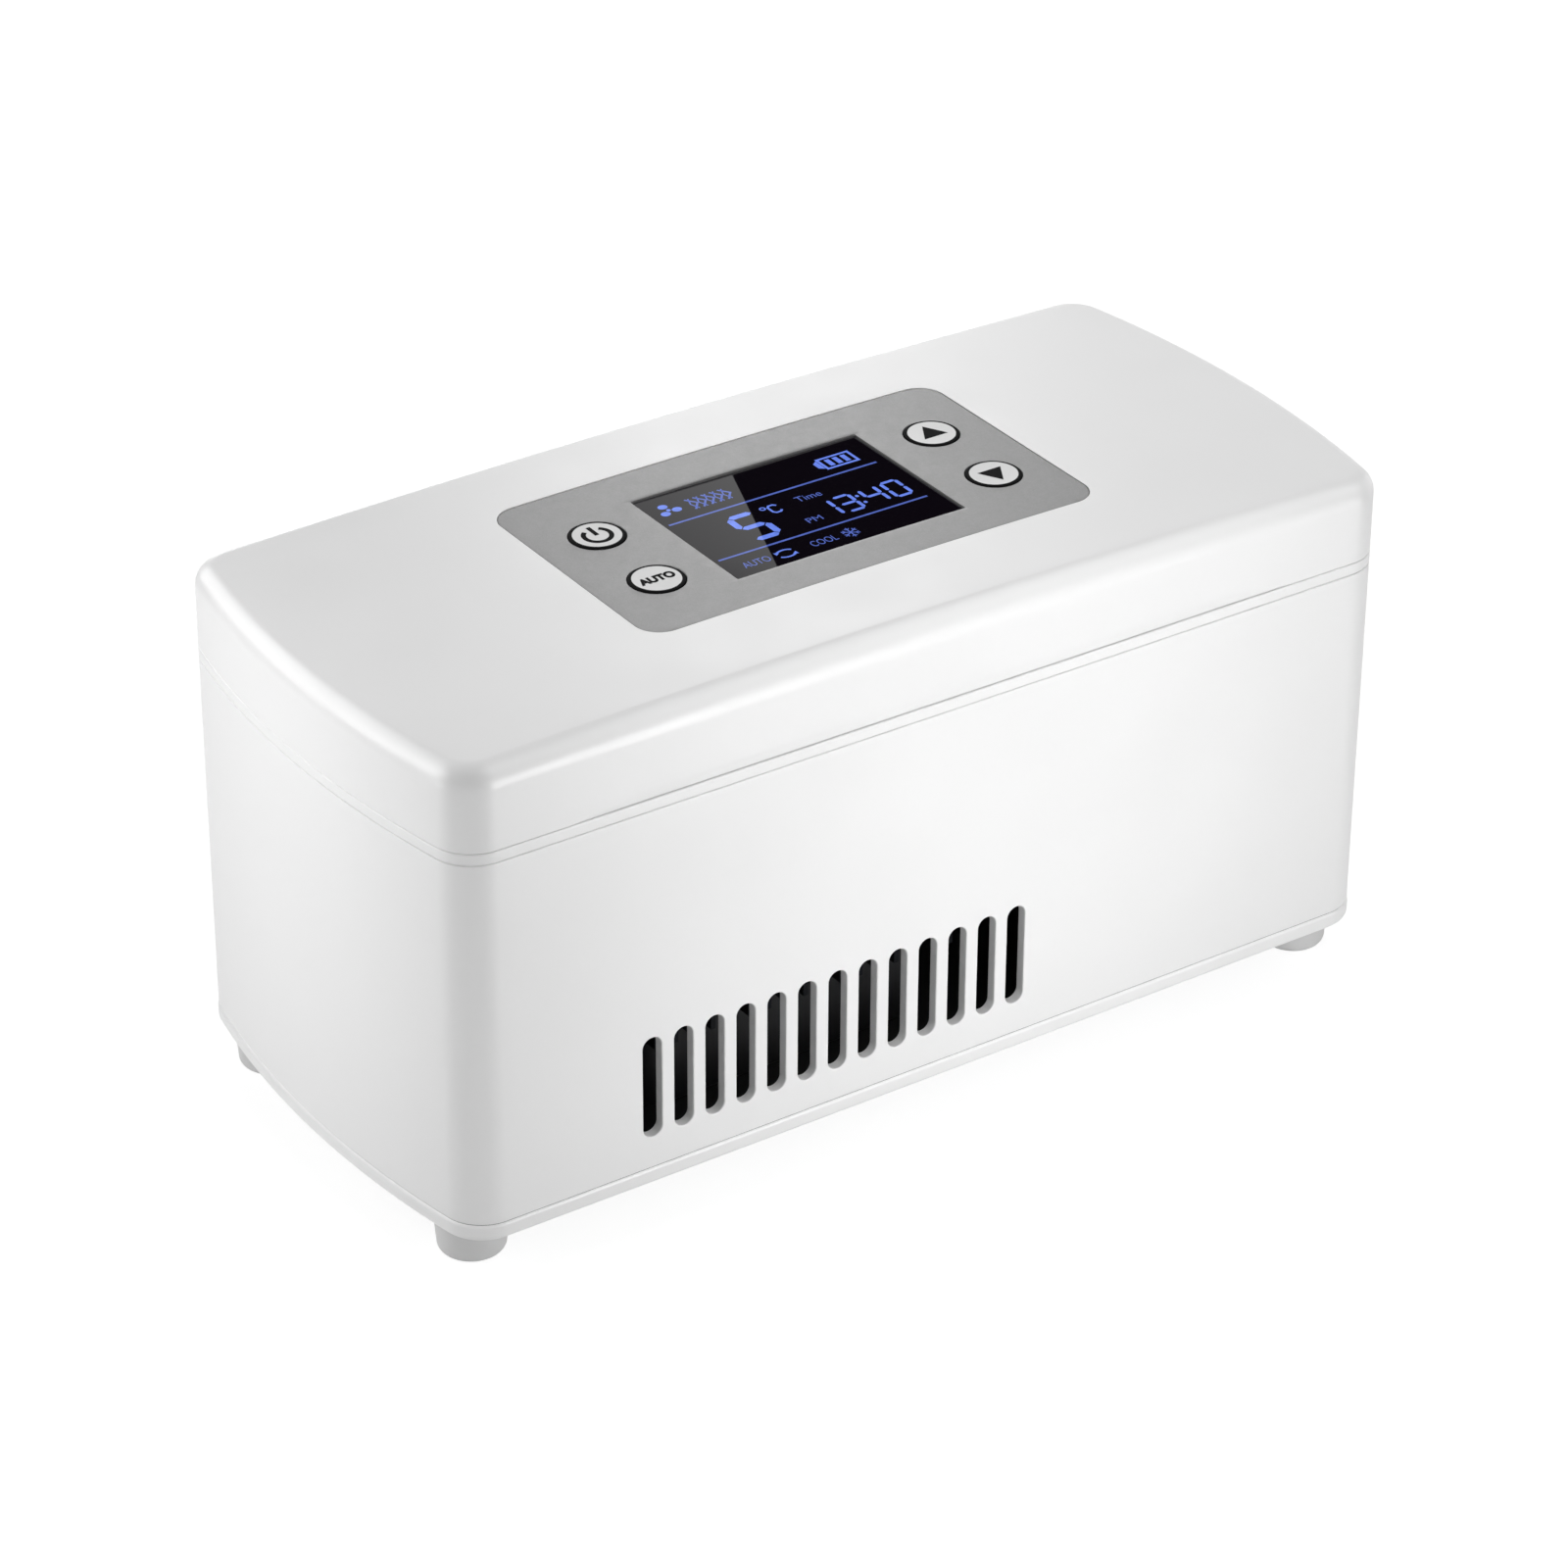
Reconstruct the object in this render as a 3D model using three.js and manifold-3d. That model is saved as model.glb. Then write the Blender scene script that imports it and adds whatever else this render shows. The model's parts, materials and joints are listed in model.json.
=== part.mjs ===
import * as THREE from 'three';
import { mergeVertices } from 'three/addons/utils/BufferGeometryUtils.js';
import Module from 'manifold-3d';

// Insulin cooling case: a small bench-top cooler that keeps injection pens at fridge temperature.
// Millimetres. X runs along the case to its right end, Y to its back and Z up.
// The origin is on the table, under the middle of the case.

// Case outline from above: a rounded rectangle whose sides bow outwards
const caseLength = 205;
const caseWidth = 93.8;
const endBow = 5.2;
const sideBow = 0.2;
const cornerRadius = 8.2;
const wall = 2;

// Heights, from the table up
const footHeight = 8.4;
const baseBand = 3.1;
const bodyHeight = 72.3;
const rimBand = 2.4;
const lidSeam = 0.3;
const lidEndHeight = 14.8;
const lidCrown = 1.75;
const lidEdgeRadius = 3.8;

// Shadow lines and small clearances
const grooveHeight = 0.5;
const grooveDepth = 0.5;
const baseProud = 0.15;
const seatGap = 0.3;
const runningGap = 0.08;
const screwGap = 0.25;
const overrun = 1;

// Base cover and feet
const basePlate = 2;
const baseEdgeRadius = 1.2;
const lipWall = 1.5;
const lipHeight = 3;
const footInsetX = 11.4;
const footInsetY = 11.7;
const footTopRadius = 6.2;
const footBottomRadius = 5.7;
const footEdgeRadius = 0.9;
const footRecessRadius = 3.3;
const footRecessDepth = 5;
const postRadius = 4;
const postRib = 1.6;

// Ventilation slots
const slotWidth = 3.9;
const slotHeight = 20.4;
const slotPitch = 6.457;
const slotRowInset = 80.4;
const slotBottom = 17.9;
const slotCount = 13;
const intakeRadius = 26;
const intakeSlot = 3;
const intakePitch = 5.6;

// Fan
const fanSize = 60;
const fanDepth = 15;
const fanCorner = 4;
const fanDuctRadius = 28.4;
const fanHubRadius = 12.5;
const fanHubPlate = 3;
const fanSpoke = 3;
const fanScrewSpacing = 50;
const fanTipGap = 1;
const fanShaftRadius = 1.5;
const fanRotorHeight = 10;
const bladeRootChord = 9;
const bladeTipChord = 15;
const bladeThickness = 0.9;
const bladeRise = 6;
const bladeCount = 7;

// Heat sink, thermoelectric module and the block that carries cold up to the chamber
const sinkLength = 76;
const sinkSideRoom = 12.9;
const sinkHeight = 18;
const sinkPlate = 3.5;
const finThickness = 1;
const finCount = 20;
const moduleSize = 40;
const moduleHeight = 3.8;
const blockLength = 64;
const blockWidth = 40;
const blockHeight = 14.5;
const sinkScrewSpacing = 52;
const sensorLength = 8;
const sensorWidth = 4;
const sensorHeight = 2;
const sensorOffset = 48;

// Cold chamber, its distance from the case's ends and sides, and the rim around its mouth
const chamberEndRoom = 17.5;
const chamberSideRoom = 19.4;
const chamberRadius = 6;
const chamberWall = 1.5;
const flangeWidth = 3;
const flangeHeight = 1.2;
const skirtWall = 1.5;
const skirtDepth = 4;
const skirtGap = 0.15;
const rimChamfer = 0.3;

// Hinge
const hingeInsetX = 44.5;
const hingeRadius = 2;
const hingePinRadius = 1;
const rimKnuckle = 8;
const lidKnuckle = 5;

// Lid, liner and seal
const lidRoof = 2.2;
const reliefHeight = 0.7;
const reliefInset = 40.5;
const reliefRun = 8;
const linerThickness = 2.6;
const linerRise = 0.5;
const linerGap = 0.2;
const lidScrewInsetX = 11.5;
const lidScrewInsetY = 12.9;
const lidPostRadius = 3.2;
const lidFoamEndRoom = 19.5;
const lidFoamSideRoom = 8.9;
const lidFoamRadius = 6;
const gasketInset = 2;
const gasketWidth = 3;
const gasketSink = 0.4;
const magnetRadius = 3;
const magnetHeight = 1.5;
const magnetInsetX = 32.5;
const magnetInsetY = 9.9;

// Control panel, display and buttons
const panelEndMargin = 11.65;
const panelSideMargin = 9.45;
const panelRadius = 5;
const panelThickness = 1.45;
const panelDrop = 0.1;
const panelGap = 0.1;
const panelX = 1.1;
const panelY = 1.5;
const windowLength = 48.5;
const windowWidth = 34.7;
const windowX = 1.35;
const windowY = 1.05;
const windowDrop = 0.75;
const lensThickness = 1.2;
const lensOverlap = 2.3;
const displayOverlap = 0.8;
const displayHeight = 3.3;
const boardEndMargin = 3.7;
const boardSideMargin = 4.8;
const boardThickness = 1.6;
const boardPostRadius = 2.2;
const boardPostInset = 3.5;
const buttonCentreX = 1.5;
const buttonCentreY = 1.25;
const buttonToWindow = 11.8;
const buttonSpacingY = 19.3;
const buttonRadius = 5.15;
const buttonGap = 0.15;
const buttonFlange = 1;
const buttonFlangeHeight = 1;
const buttonProud = 0.2;
const buttonEdge = 0.3;
const switchSize = 6;
const switchBody = 2.4;
const switchPlunger = 0.7;
const switchPlungerRadius = 1.7;

// Power electronics
const cellRadius = 9.2;
const cellPitch = 20;
const cellToSink = 9.6;
const cellEndRoom = 12;
const holderFloor = 1.2;
const holderWall = 1.5;
const holderHeight = 12;
const mainBoardInset = 27.5;
const mainBoardY = 6;
const mainBoardEndRoom = 10.9;
const mainBoardWidth = 22;
const mainBoardPost = 7.6;
const mainBoardPostInset = 3.5;
const jackWidth = 9;
const jackDepth = 14;
const jackHeight = 11;
const jackBarrelRadius = 3.9;
const jackBarrelLength = 1.7;
const jackBoreRadius = 2.9;
const jackBoreDepth = 9;
const jackPinRadius = 1;
const capacitorRadius = 4;
const capacitorHeight = 11;
const inductorRadius = 5;
const inductorHeight = 6;
const chipSize = 7;
const chipHeight = 1.4;

// Screws
const screwHeadRadius = 2.7;
const screwHeadHeight = 1.5;
const screwShankRadius = 1.4;
const caseScrewLength = 22;
const fanScrewLength = 9;
const sinkScrewLength = 12;
const lidScrewLength = 8;
const crossWidth = 0.6;
const crossDepth = 0.7;
const crossLengthShare = 1.2;

// Facets on the round stretches; an arc in a flat shape gets twice its count
const endSteps = 4;
const cornerSteps = 4;
const sideSteps = 5;
const filletSteps = 4;
const fineSides = 24;
const roundSides = 16;
const smallSides = 8;
const arcFacets = 2;
const flatTolerance = 5e-5;
const mergeTolerance = 1e-5;

// Heights and places that follow from the sizes above
const halfLength = caseLength / 2;
const halfWidth = caseWidth / 2;
const footX = halfLength - footInsetX;
const footY = halfWidth - footInsetY;
const slotRowX = slotRowInset - halfLength;
const sinkWidth = caseWidth - 2 * sinkSideRoom;
const chamberLength = caseLength - 2 * chamberEndRoom;
const chamberWidth = caseWidth - 2 * chamberSideRoom;
const hingeX = halfLength - hingeInsetX;
const reliefHalfLength = halfLength - reliefInset;
const lidScrewX = halfLength - lidScrewInsetX;
const lidScrewY = halfWidth - lidScrewInsetY;
const lidFoamLength = caseLength - 2 * lidFoamEndRoom;
const lidFoamWidth = caseWidth - 2 * lidFoamSideRoom;
const magnetX = halfLength - magnetInsetX;
const magnetY = halfWidth - magnetInsetY;
const buttonSpacingX = windowLength + 2 * buttonToWindow;
const panelLength = buttonSpacingX + 2 * panelEndMargin;
const panelWidth = windowWidth + 2 * panelSideMargin;
const boardLength = panelLength - 2 * boardEndMargin;
const boardWidth = panelWidth - 2 * boardSideMargin;
const cellStart = slotRowX + sinkLength / 2 + cellToSink;
const cellEnd = halfLength - cellEndRoom;
const cellLength = cellEnd - cellStart;
const cellX = (cellStart + cellEnd) / 2;
const mainBoardX = mainBoardInset - halfLength;
const mainBoardLength = caseWidth - 2 * mainBoardEndRoom;
const baseTop = footHeight + baseBand;
const floorTop = footHeight + basePlate;
const bodyTop = baseTop + bodyHeight;
const rimTop = bodyTop + rimBand;
const lidBottom = rimTop + lidSeam;
const lidEndTop = lidBottom + lidEndHeight;
const ceiling = lidEndTop - lidRoof;
const rotorBottom = fanDepth - fanHubPlate - seatGap - fanRotorHeight;
const linerBottom = lidBottom + linerRise;
const linerTop = linerBottom + linerThickness;
const sinkBottom = floorTop + fanDepth + seatGap;
const sinkTop = sinkBottom + sinkHeight;
const moduleTop = sinkTop + moduleHeight;
const chamberBottom = moduleTop + blockHeight;
const chamberFloor = chamberBottom + chamberWall;
const flangeTop = bodyTop - seatGap;
const foamBottom = sinkTop + seatGap;
const foamTop = flangeTop - flangeHeight - seatGap;
const postTop = foamBottom - seatGap;
const skirtInset = wall + skirtGap;
const foamInset = skirtInset + skirtWall + seatGap;
const hingeY = halfWidth;
const hingeZ = rimTop + lidSeam / 2;
const lidKnuckleX = (rimKnuckle + lidKnuckle) / 2 + seatGap;
const hingeSpan = rimKnuckle + 2 * (lidKnuckle + seatGap);
const hingeCentres = [-hingeX, hingeX];
const lidKnuckleCentres = hingeCentres.flatMap((x) => [x - lidKnuckleX, x + lidKnuckleX]);
const pocketFloor = lidEndTop + lidCrown - panelDrop - panelThickness;
const lensBottom = pocketFloor - lensThickness;
const boardTop = lensBottom - panelGap - displayHeight;
const boardBottom = boardTop - boardThickness;
const mainBoardBottom = floorTop + mainBoardPost;
const mainBoardTop = mainBoardBottom + boardThickness;
const mainBoardEnd = mainBoardY + mainBoardLength / 2;
const jackAxisZ = mainBoardTop + jackHeight / 2;
const jackMouth = halfWidth - sideBow - wall - seatGap;
const cellAxisZ = floorTop + holderFloor + panelGap + cellRadius;
const lidMagnetBottom = linerTop - magnetHeight;
const fourCorners = [[-1, -1], [1, -1], [-1, 1], [1, 1]];
const cornerNames = ['front_left', 'front_right', 'rear_left', 'rear_right'];
const twoSides = [['left', -1], ['right', 1]];

const wasm = await Module();
wasm.setup();

// One number for each triangle, the same on neighbours that lie in one plane,
// so that a cut leaves no corners inside a flat face
function flatFaces(places, faces) {
  const corner = (v) => new THREE.Vector3().fromArray(places, 3 * v);
  const normals = faces.map(([a, b, c]) =>
    corner(b).sub(corner(a)).cross(corner(c).sub(corner(a))).normalize());
  const neighbours = new Map();
  faces.forEach((face, t) => face.forEach((a, k) => {
    const b = face[(k + 1) % 3];
    const edge = a < b ? `${a} ${b}` : `${b} ${a}`;
    neighbours.set(edge, [...(neighbours.get(edge) ?? []), t]);
  }));
  const joined = faces.map(() => []);
  for (const [t, u] of neighbours.values()) {
    if (normals[t].clone().cross(normals[u]).length() > flatTolerance) continue;
    joined[t].push(u);
    joined[u].push(t);
  }
  const faceID = new Uint32Array(faces.length).fill(faces.length);
  faces.forEach((_, start) => {
    const open = [start];
    while (open.length > 0) {
      const t = open.pop();
      if (faceID[t] !== faces.length) continue;
      faceID[t] = start;
      open.push(...joined[t]);
    }
  });
  return faceID;
}

// A closed geometry as a solid, with its faces turned to point out
function solidOf(geometry) {
  const bare = geometry.index ? geometry.toNonIndexed() : geometry.clone();
  bare.deleteAttribute('normal');
  bare.deleteAttribute('uv');
  const merged = mergeVertices(bare, mergeTolerance);
  const places = merged.attributes.position.array;
  const corners = [];
  let volume = 0;
  for (let i = 0; i < merged.index.count; i += 3) {
    const [a, b, c] = [0, 1, 2].map((k) => merged.index.getX(i + k));
    if (a === b || b === c || c === a) continue;
    corners.push([a, b, c]);
    const [p, q, r] = [a, b, c].map((v) => new THREE.Vector3().fromArray(places, 3 * v));
    volume += p.dot(q.cross(r));
  }
  const faces = volume < 0 ? corners.map(([a, b, c]) => [a, c, b]) : corners;
  const triVerts = new Uint32Array(faces.flat());
  const faceID = flatFaces(places, faces);
  return new wasm.Manifold(new wasm.Mesh({ numProp: 3, vertProperties: places, triVerts, faceID }));
}

function geometryOf(solid) {
  const mesh = solid.getMesh();
  const geometry = new THREE.BufferGeometry();
  geometry.setAttribute('position', new THREE.BufferAttribute(mesh.vertProperties, 3));
  geometry.setIndex(new THREE.BufferAttribute(mesh.triVerts, 1));
  geometry.computeVertexNormals();
  return geometry;
}

function join(...solids) {
  return solids.flat().reduce((whole, piece) => whole.add(piece));
}

function cut(solid, ...tools) {
  return tools.flat().reduce((rest, tool) => rest.subtract(tool), solid);
}

function block(x0, x1, y0, y1, z0, z1) {
  const box = new THREE.BoxGeometry(x1 - x0, y1 - y0, z1 - z0);
  return solidOf(box.translate((x0 + x1) / 2, (y0 + y1) / 2, (z0 + z1) / 2));
}

// A block centred on a point from above, between two heights
function standingBlock(x, y, sizeX, sizeY, z0, z1) {
  return block(x - sizeX / 2, x + sizeX / 2, y - sizeY / 2, y + sizeY / 2, z0, z1);
}

function rod(radius, z0, z1, x = 0, y = 0, sides = roundSides) {
  const cylinder = new THREE.CylinderGeometry(radius, radius, z1 - z0, sides);
  return solidOf(cylinder.rotateX(Math.PI / 2).translate(x, y, (z0 + z1) / 2));
}

function rodAlongX(radius, x0, x1, y, z, sides = roundSides) {
  const cylinder = new THREE.CylinderGeometry(radius, radius, x1 - x0, sides);
  return solidOf(cylinder.rotateZ(Math.PI / 2).translate((x0 + x1) / 2, y, z));
}

function rodAlongY(radius, y0, y1, x, z, sides = roundSides) {
  const cylinder = new THREE.CylinderGeometry(radius, radius, y1 - y0, sides);
  return solidOf(cylinder.translate(x, (y0 + y1) / 2, z));
}

// A profile of [radius, height] points turned about Z
function turned(profile, sides = roundSides) {
  const points = profile.map(([radius, z]) => new THREE.Vector2(radius, z));
  return solidOf(new THREE.LatheGeometry(points, sides).rotateX(Math.PI / 2));
}

function roundedRectangle(length, width, radius, x = 0, y = 0) {
  const [a, b] = [length / 2 - radius, width / 2 - radius];
  const shape = new THREE.Shape();
  shape.absarc(x + a, y + b, radius, 0, Math.PI / 2);
  shape.absarc(x - a, y + b, radius, Math.PI / 2, Math.PI);
  shape.absarc(x - a, y - b, radius, Math.PI, 1.5 * Math.PI);
  shape.absarc(x + a, y - b, radius, 1.5 * Math.PI, 2 * Math.PI);
  return shape;
}

// A flat shape raised from one height to another
function slab(shape, z0, z1) {
  const settings = { depth: z1 - z0, bevelEnabled: false, curveSegments: arcFacets };
  return solidOf(new THREE.ExtrudeGeometry(shape, settings).translate(0, 0, z0));
}

// A shape drawn in X and Z and run along Y between two places
function upright(shape, y0, y1) {
  const settings = { depth: y1 - y0, bevelEnabled: false, curveSegments: arcFacets };
  return solidOf(new THREE.ExtrudeGeometry(shape, settings).rotateX(Math.PI / 2).translate(0, y1, 0));
}

// A solid whose skin passes through a stack of loops with equal counts of points.
// Each end is closed by strips between point i and its mirror.
function loft(rings) {
  const count = rings[0].length;
  const positions = [];
  const triangle = (...corners) => corners.forEach((p) => positions.push(p[0], p[1], p[2]));
  for (let level = 1; level < rings.length; level += 1) {
    const [low, high] = [rings[level - 1], rings[level]];
    for (let i = 0; i < count; i += 1) {
      const next = (i + 1) % count;
      triangle(low[i], low[next], high[next]);
      triangle(low[i], high[next], high[i]);
    }
  }
  const close = (ring, turn) => {
    for (let i = 0; i < count / 2; i += 1) {
      const [a, b, c, d] = [ring[i], ring[i + 1], ring[count - i - 1], ring[(count - i) % count]];
      if (b !== c) triangle(...(turn ? [a, c, b] : [a, b, c]));
      if (a !== d) triangle(...(turn ? [a, d, c] : [a, c, d]));
    }
  };
  close(rings[0], true);
  close(rings.at(-1), false);
  const geometry = new THREE.BufferGeometry();
  geometry.setAttribute('position', new THREE.Float32BufferAttribute(positions, 3));
  return solidOf(geometry);
}

// The circles of the outline: bowed ends, bowed sides and the corners that are tangent to both
const outline = (() => {
  const endReach = halfWidth - sideBow;
  const sideReach = halfLength - endBow;
  const endRadius = (endReach ** 2 + endBow ** 2) / (2 * endBow);
  const sideRadius = (sideReach ** 2 + sideBow ** 2) / (2 * sideBow);
  const endCentre = new THREE.Vector2(halfLength - endRadius, 0);
  const sideCentre = new THREE.Vector2(0, halfWidth - sideRadius);
  const apart = sideCentre.clone().sub(endCentre);
  const distance = apart.length();
  const along = apart.clone().divideScalar(distance);
  const toEnd = endRadius - cornerRadius;
  const toSide = sideRadius - cornerRadius;
  const reach = (toEnd ** 2 - toSide ** 2 + distance ** 2) / (2 * distance);
  const offset = Math.sqrt(toEnd ** 2 - reach ** 2);
  const corner = endCentre.clone().addScaledVector(along, reach);
  corner.addScaledVector(new THREE.Vector2(-along.y, along.x), offset);
  const endAngle = corner.clone().sub(endCentre).angle();
  const sideAngle = corner.clone().sub(sideCentre).angle();
  return { endRadius, sideRadius, endCentre, sideCentre, corner, endAngle, sideAngle };
})();

// Points of the outline, drawn in by an inset, counter-clockwise from the right end
function outlinePoints(inset) {
  const { endRadius, sideRadius, endCentre, sideCentre, corner, endAngle, sideAngle } = outline;
  const quarter = [];
  const arc = (centre, radius, from, to, steps, first) => {
    for (let i = first; i <= steps; i += 1) {
      const angle = from + ((to - from) * i) / steps;
      quarter.push([centre.x + radius * Math.cos(angle), centre.y + radius * Math.sin(angle)]);
    }
  };
  arc(endCentre, endRadius - inset, 0, endAngle, endSteps, 0);
  arc(corner, cornerRadius - inset, endAngle, sideAngle, cornerSteps, 1);
  arc(sideCentre, sideRadius - inset, sideAngle, Math.PI / 2, sideSteps, 1);
  const half = [...quarter, ...quarter.slice(0, -1).reverse().map(([x, y]) => [-x, y])];
  return [...half, ...half.slice(1, -1).reverse().map(([x, y]) => [x, -y])];
}

// A solid with the case's outline, from [inset, height] pairs; a height may depend on x
function caseSolid(levels) {
  const heightAt = (height, x) => (typeof height === 'function' ? height(x) : height);
  return loft(levels.map(([inset, height]) =>
    outlinePoints(inset).map(([x, y]) => [x, y, heightAt(height, x)])));
}

// Inner face of the bowed end wall at a distance y from the middle
function endWallX(y) {
  return outline.endCentre.x + Math.sqrt((outline.endRadius - wall) ** 2 - y ** 2);
}

function lidTopAt(x) {
  return lidEndTop + lidCrown * (1 - (x / halfLength) ** 2);
}

const cooler = new THREE.Group();
const finishes = {
  white: { color: '#eef0f2', roughness: 0.35, metalness: 0 },
  softWhite: { color: '#dfe1e3', roughness: 0.5, metalness: 0 },
  foot: { color: '#c9cacc', roughness: 0.8, metalness: 0 },
  grey: { color: '#a1a3a6', roughness: 0.4, metalness: 0.5 },
  button: { color: '#dfe0e1', roughness: 0.45, metalness: 0 },
  glass: { color: '#14131a', roughness: 0.08, metalness: 0 },
  black: { color: '#17171a', roughness: 0.6, metalness: 0 },
  aluminium: { color: '#c3c6ca', roughness: 0.35, metalness: 0.9 },
  blackAluminium: { color: '#1b1c1e', roughness: 0.5, metalness: 0.7 },
  steel: { color: '#b5b8bb', roughness: 0.3, metalness: 1 },
  foam: { color: '#e9e8e4', roughness: 0.95, metalness: 0 },
  ceramic: { color: '#f1efe8', roughness: 0.6, metalness: 0 },
  board: { color: '#1d5a36', roughness: 0.5, metalness: 0 },
  cell: { color: '#3a6fa8', roughness: 0.4, metalness: 0 },
  copper: { color: '#b5673a', roughness: 0.4, metalness: 0.8 },
  rubber: { color: '#8d8f92', roughness: 0.85, metalness: 0 },
};

function add(name, solid, finish, x = 0, y = 0, z = 0) {
  const mesh = new THREE.Mesh(geometryOf(solid), new THREE.MeshStandardMaterial(finishes[finish]));
  mesh.name = name;
  mesh.position.set(x, y, z);
  cooler.add(mesh);
}

// A pan-head screw: the head hangs below its bearing face, the shank runs up from it
function screw(length) {
  const body = turned([
    [0, -screwHeadHeight],
    [screwHeadRadius, -screwHeadHeight],
    [screwHeadRadius, 0],
    [screwShankRadius, 0],
    [screwShankRadius, length],
    [0, length],
  ], smallSides);
  const reach = screwHeadRadius * crossLengthShare;
  const [low, high] = [-screwHeadHeight - overrun, crossDepth - screwHeadHeight];
  return cut(
    body,
    standingBlock(0, 0, reach, crossWidth, low, high),
    standingBlock(0, 0, crossWidth, reach, low, high),
  );
}

// A long hole with round ends, between its lowest and highest points
function slotShape(x, width, low, high) {
  const shape = new THREE.Shape();
  shape.absarc(x, high - width / 2, width / 2, 0, Math.PI);
  shape.absarc(x, low + width / 2, width / 2, Math.PI, 2 * Math.PI);
  return shape;
}

// The row of upright slots, as tools through a front or rear wall
function ventRow(y0, y1) {
  const firstX = slotRowX - ((slotCount - 1) * slotPitch) / 2;
  return Array.from({ length: slotCount }, (_, i) => upright(
    slotShape(firstX + i * slotPitch, slotWidth, slotBottom, slotBottom + slotHeight), y0, y1,
  ));
}

function bodyShell() {
  const outer = caseSolid([
    [grooveDepth, baseTop],
    [grooveDepth, baseTop + grooveHeight],
    [0, baseTop + grooveHeight],
    [0, bodyTop - grooveHeight],
    [grooveDepth, bodyTop - grooveHeight],
    [grooveDepth, bodyTop],
  ]);
  const hollow = caseSolid([[wall, baseTop - overrun], [wall, bodyTop + overrun]]);
  const posts = fourCorners.map(([sideX, sideY]) => {
    const [x, y] = [sideX * footX, sideY * footY];
    const ribX = sideX * (endWallX(footY) + wall / 2);
    const ribY = sideY * (halfWidth - wall / 2 - sideBow);
    return join(
      rod(postRadius, baseTop, postTop, x, y),
      block(Math.min(x, ribX), Math.max(x, ribX), y - postRib / 2, y + postRib / 2, baseTop, postTop),
      block(x - postRib / 2, x + postRib / 2, Math.min(y, ribY), Math.max(y, ribY), baseTop, postTop),
    );
  });
  const pilots = fourCorners.map(([sideX, sideY]) => rod(
    screwShankRadius + screwGap, baseTop - overrun, footRecessDepth + caseScrewLength + seatGap,
    sideX * footX, sideY * footY, smallSides,
  ));
  const innerFace = halfWidth - sideBow - wall - overrun;
  const outerFace = halfWidth + overrun;
  const jackHole = rodAlongY(
    jackBarrelRadius + seatGap, innerFace, outerFace, mainBoardX, jackAxisZ,
  );
  return cut(
    join(cut(outer, hollow), posts),
    pilots,
    ventRow(-outerFace, -innerFace),
    ventRow(innerFace, outerFace),
    jackHole,
  );
}

function intakeSlots() {
  const sideCount = Math.floor(intakeRadius / intakePitch);
  const shapes = [];
  for (let i = -sideCount; i <= sideCount; i += 1) {
    const offset = i * intakePitch;
    const reach = Math.sqrt(intakeRadius ** 2 - offset ** 2);
    shapes.push(slotShape(slotRowX + offset, intakeSlot, -reach, reach));
  }
  return shapes.map((shape) => slab(shape, footHeight - overrun, floorTop + overrun));
}

// Places of the four holes on a square pattern round a centre
function squarePattern(spacingX, spacingY = spacingX, x = 0, y = 0) {
  return fourCorners.map(([sideX, sideY]) => [x + (sideX * spacingX) / 2, y + (sideY * spacingY) / 2]);
}

function baseCover() {
  const plate = caseSolid([
    [baseEdgeRadius - baseProud, footHeight],
    [baseEdgeRadius / 4 - baseProud, footHeight + baseEdgeRadius / 4],
    [-baseProud, footHeight + baseEdgeRadius],
    [-baseProud, baseTop],
  ]);
  const innerInset = skirtInset + lipWall;
  const lip = cut(
    caseSolid([[skirtInset, floorTop], [skirtInset, baseTop + lipHeight]]),
    fourCorners.map(([sideX, sideY]) => standingBlock(
      sideX * halfLength, sideY * halfWidth,
      2 * (halfLength - footX + postRadius + seatGap),
      2 * (halfWidth - footY + postRadius + seatGap),
      baseTop, baseTop + lipHeight + overrun,
    )),
  );
  const pocket = caseSolid([[innerInset, floorTop], [innerInset, baseTop + lipHeight + overrun]]);
  const boardPosts = squarePattern(
    mainBoardWidth - 2 * mainBoardPostInset, mainBoardLength - 2 * mainBoardPostInset,
    mainBoardX, mainBoardY,
  ).map(([x, y]) => rod(boardPostRadius, footHeight + basePlate / 2, mainBoardBottom, x, y, smallSides));
  const pads = fourCorners.map(([sideX, sideY]) =>
    rod(postRadius, footHeight + basePlate / 2, baseTop, sideX * footX, sideY * footY));
  const screwHoles = [
    ...squarePattern(2 * footX, 2 * footY),
    ...squarePattern(fanScrewSpacing, fanScrewSpacing, slotRowX, 0),
  ].map(([x, y]) =>
    rod(screwShankRadius + screwGap, footHeight - overrun, baseTop + overrun, x, y, smallSides));
  return cut(join(cut(join(plate, lip), pocket), boardPosts, pads), screwHoles, intakeSlots());
}

function foot() {
  return turned([
    [footRecessRadius, 0],
    [footBottomRadius - footEdgeRadius, 0],
    [footBottomRadius - footEdgeRadius / 4, footEdgeRadius / 4],
    [footBottomRadius, footEdgeRadius],
    [footTopRadius, footHeight],
    [screwShankRadius + screwGap, footHeight],
    [screwShankRadius + screwGap, footRecessDepth],
    [footRecessRadius, footRecessDepth],
    [footRecessRadius, 0],
  ]);
}

// Knuckles lie half in the rear face, on the hinge line; a gap grows them into their pockets
function knuckles(places, width, gap) {
  return places.map((x) =>
    rodAlongX(hingeRadius + gap, x - width / 2 - gap, x + width / 2 + gap, hingeY, hingeZ));
}

function hingeBores() {
  const reach = (hingeSpan + seatGap) / 2;
  return hingeCentres.map((x) =>
    rodAlongX(hingePinRadius + runningGap, x - reach, x + reach, hingeY, hingeZ));
}

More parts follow.
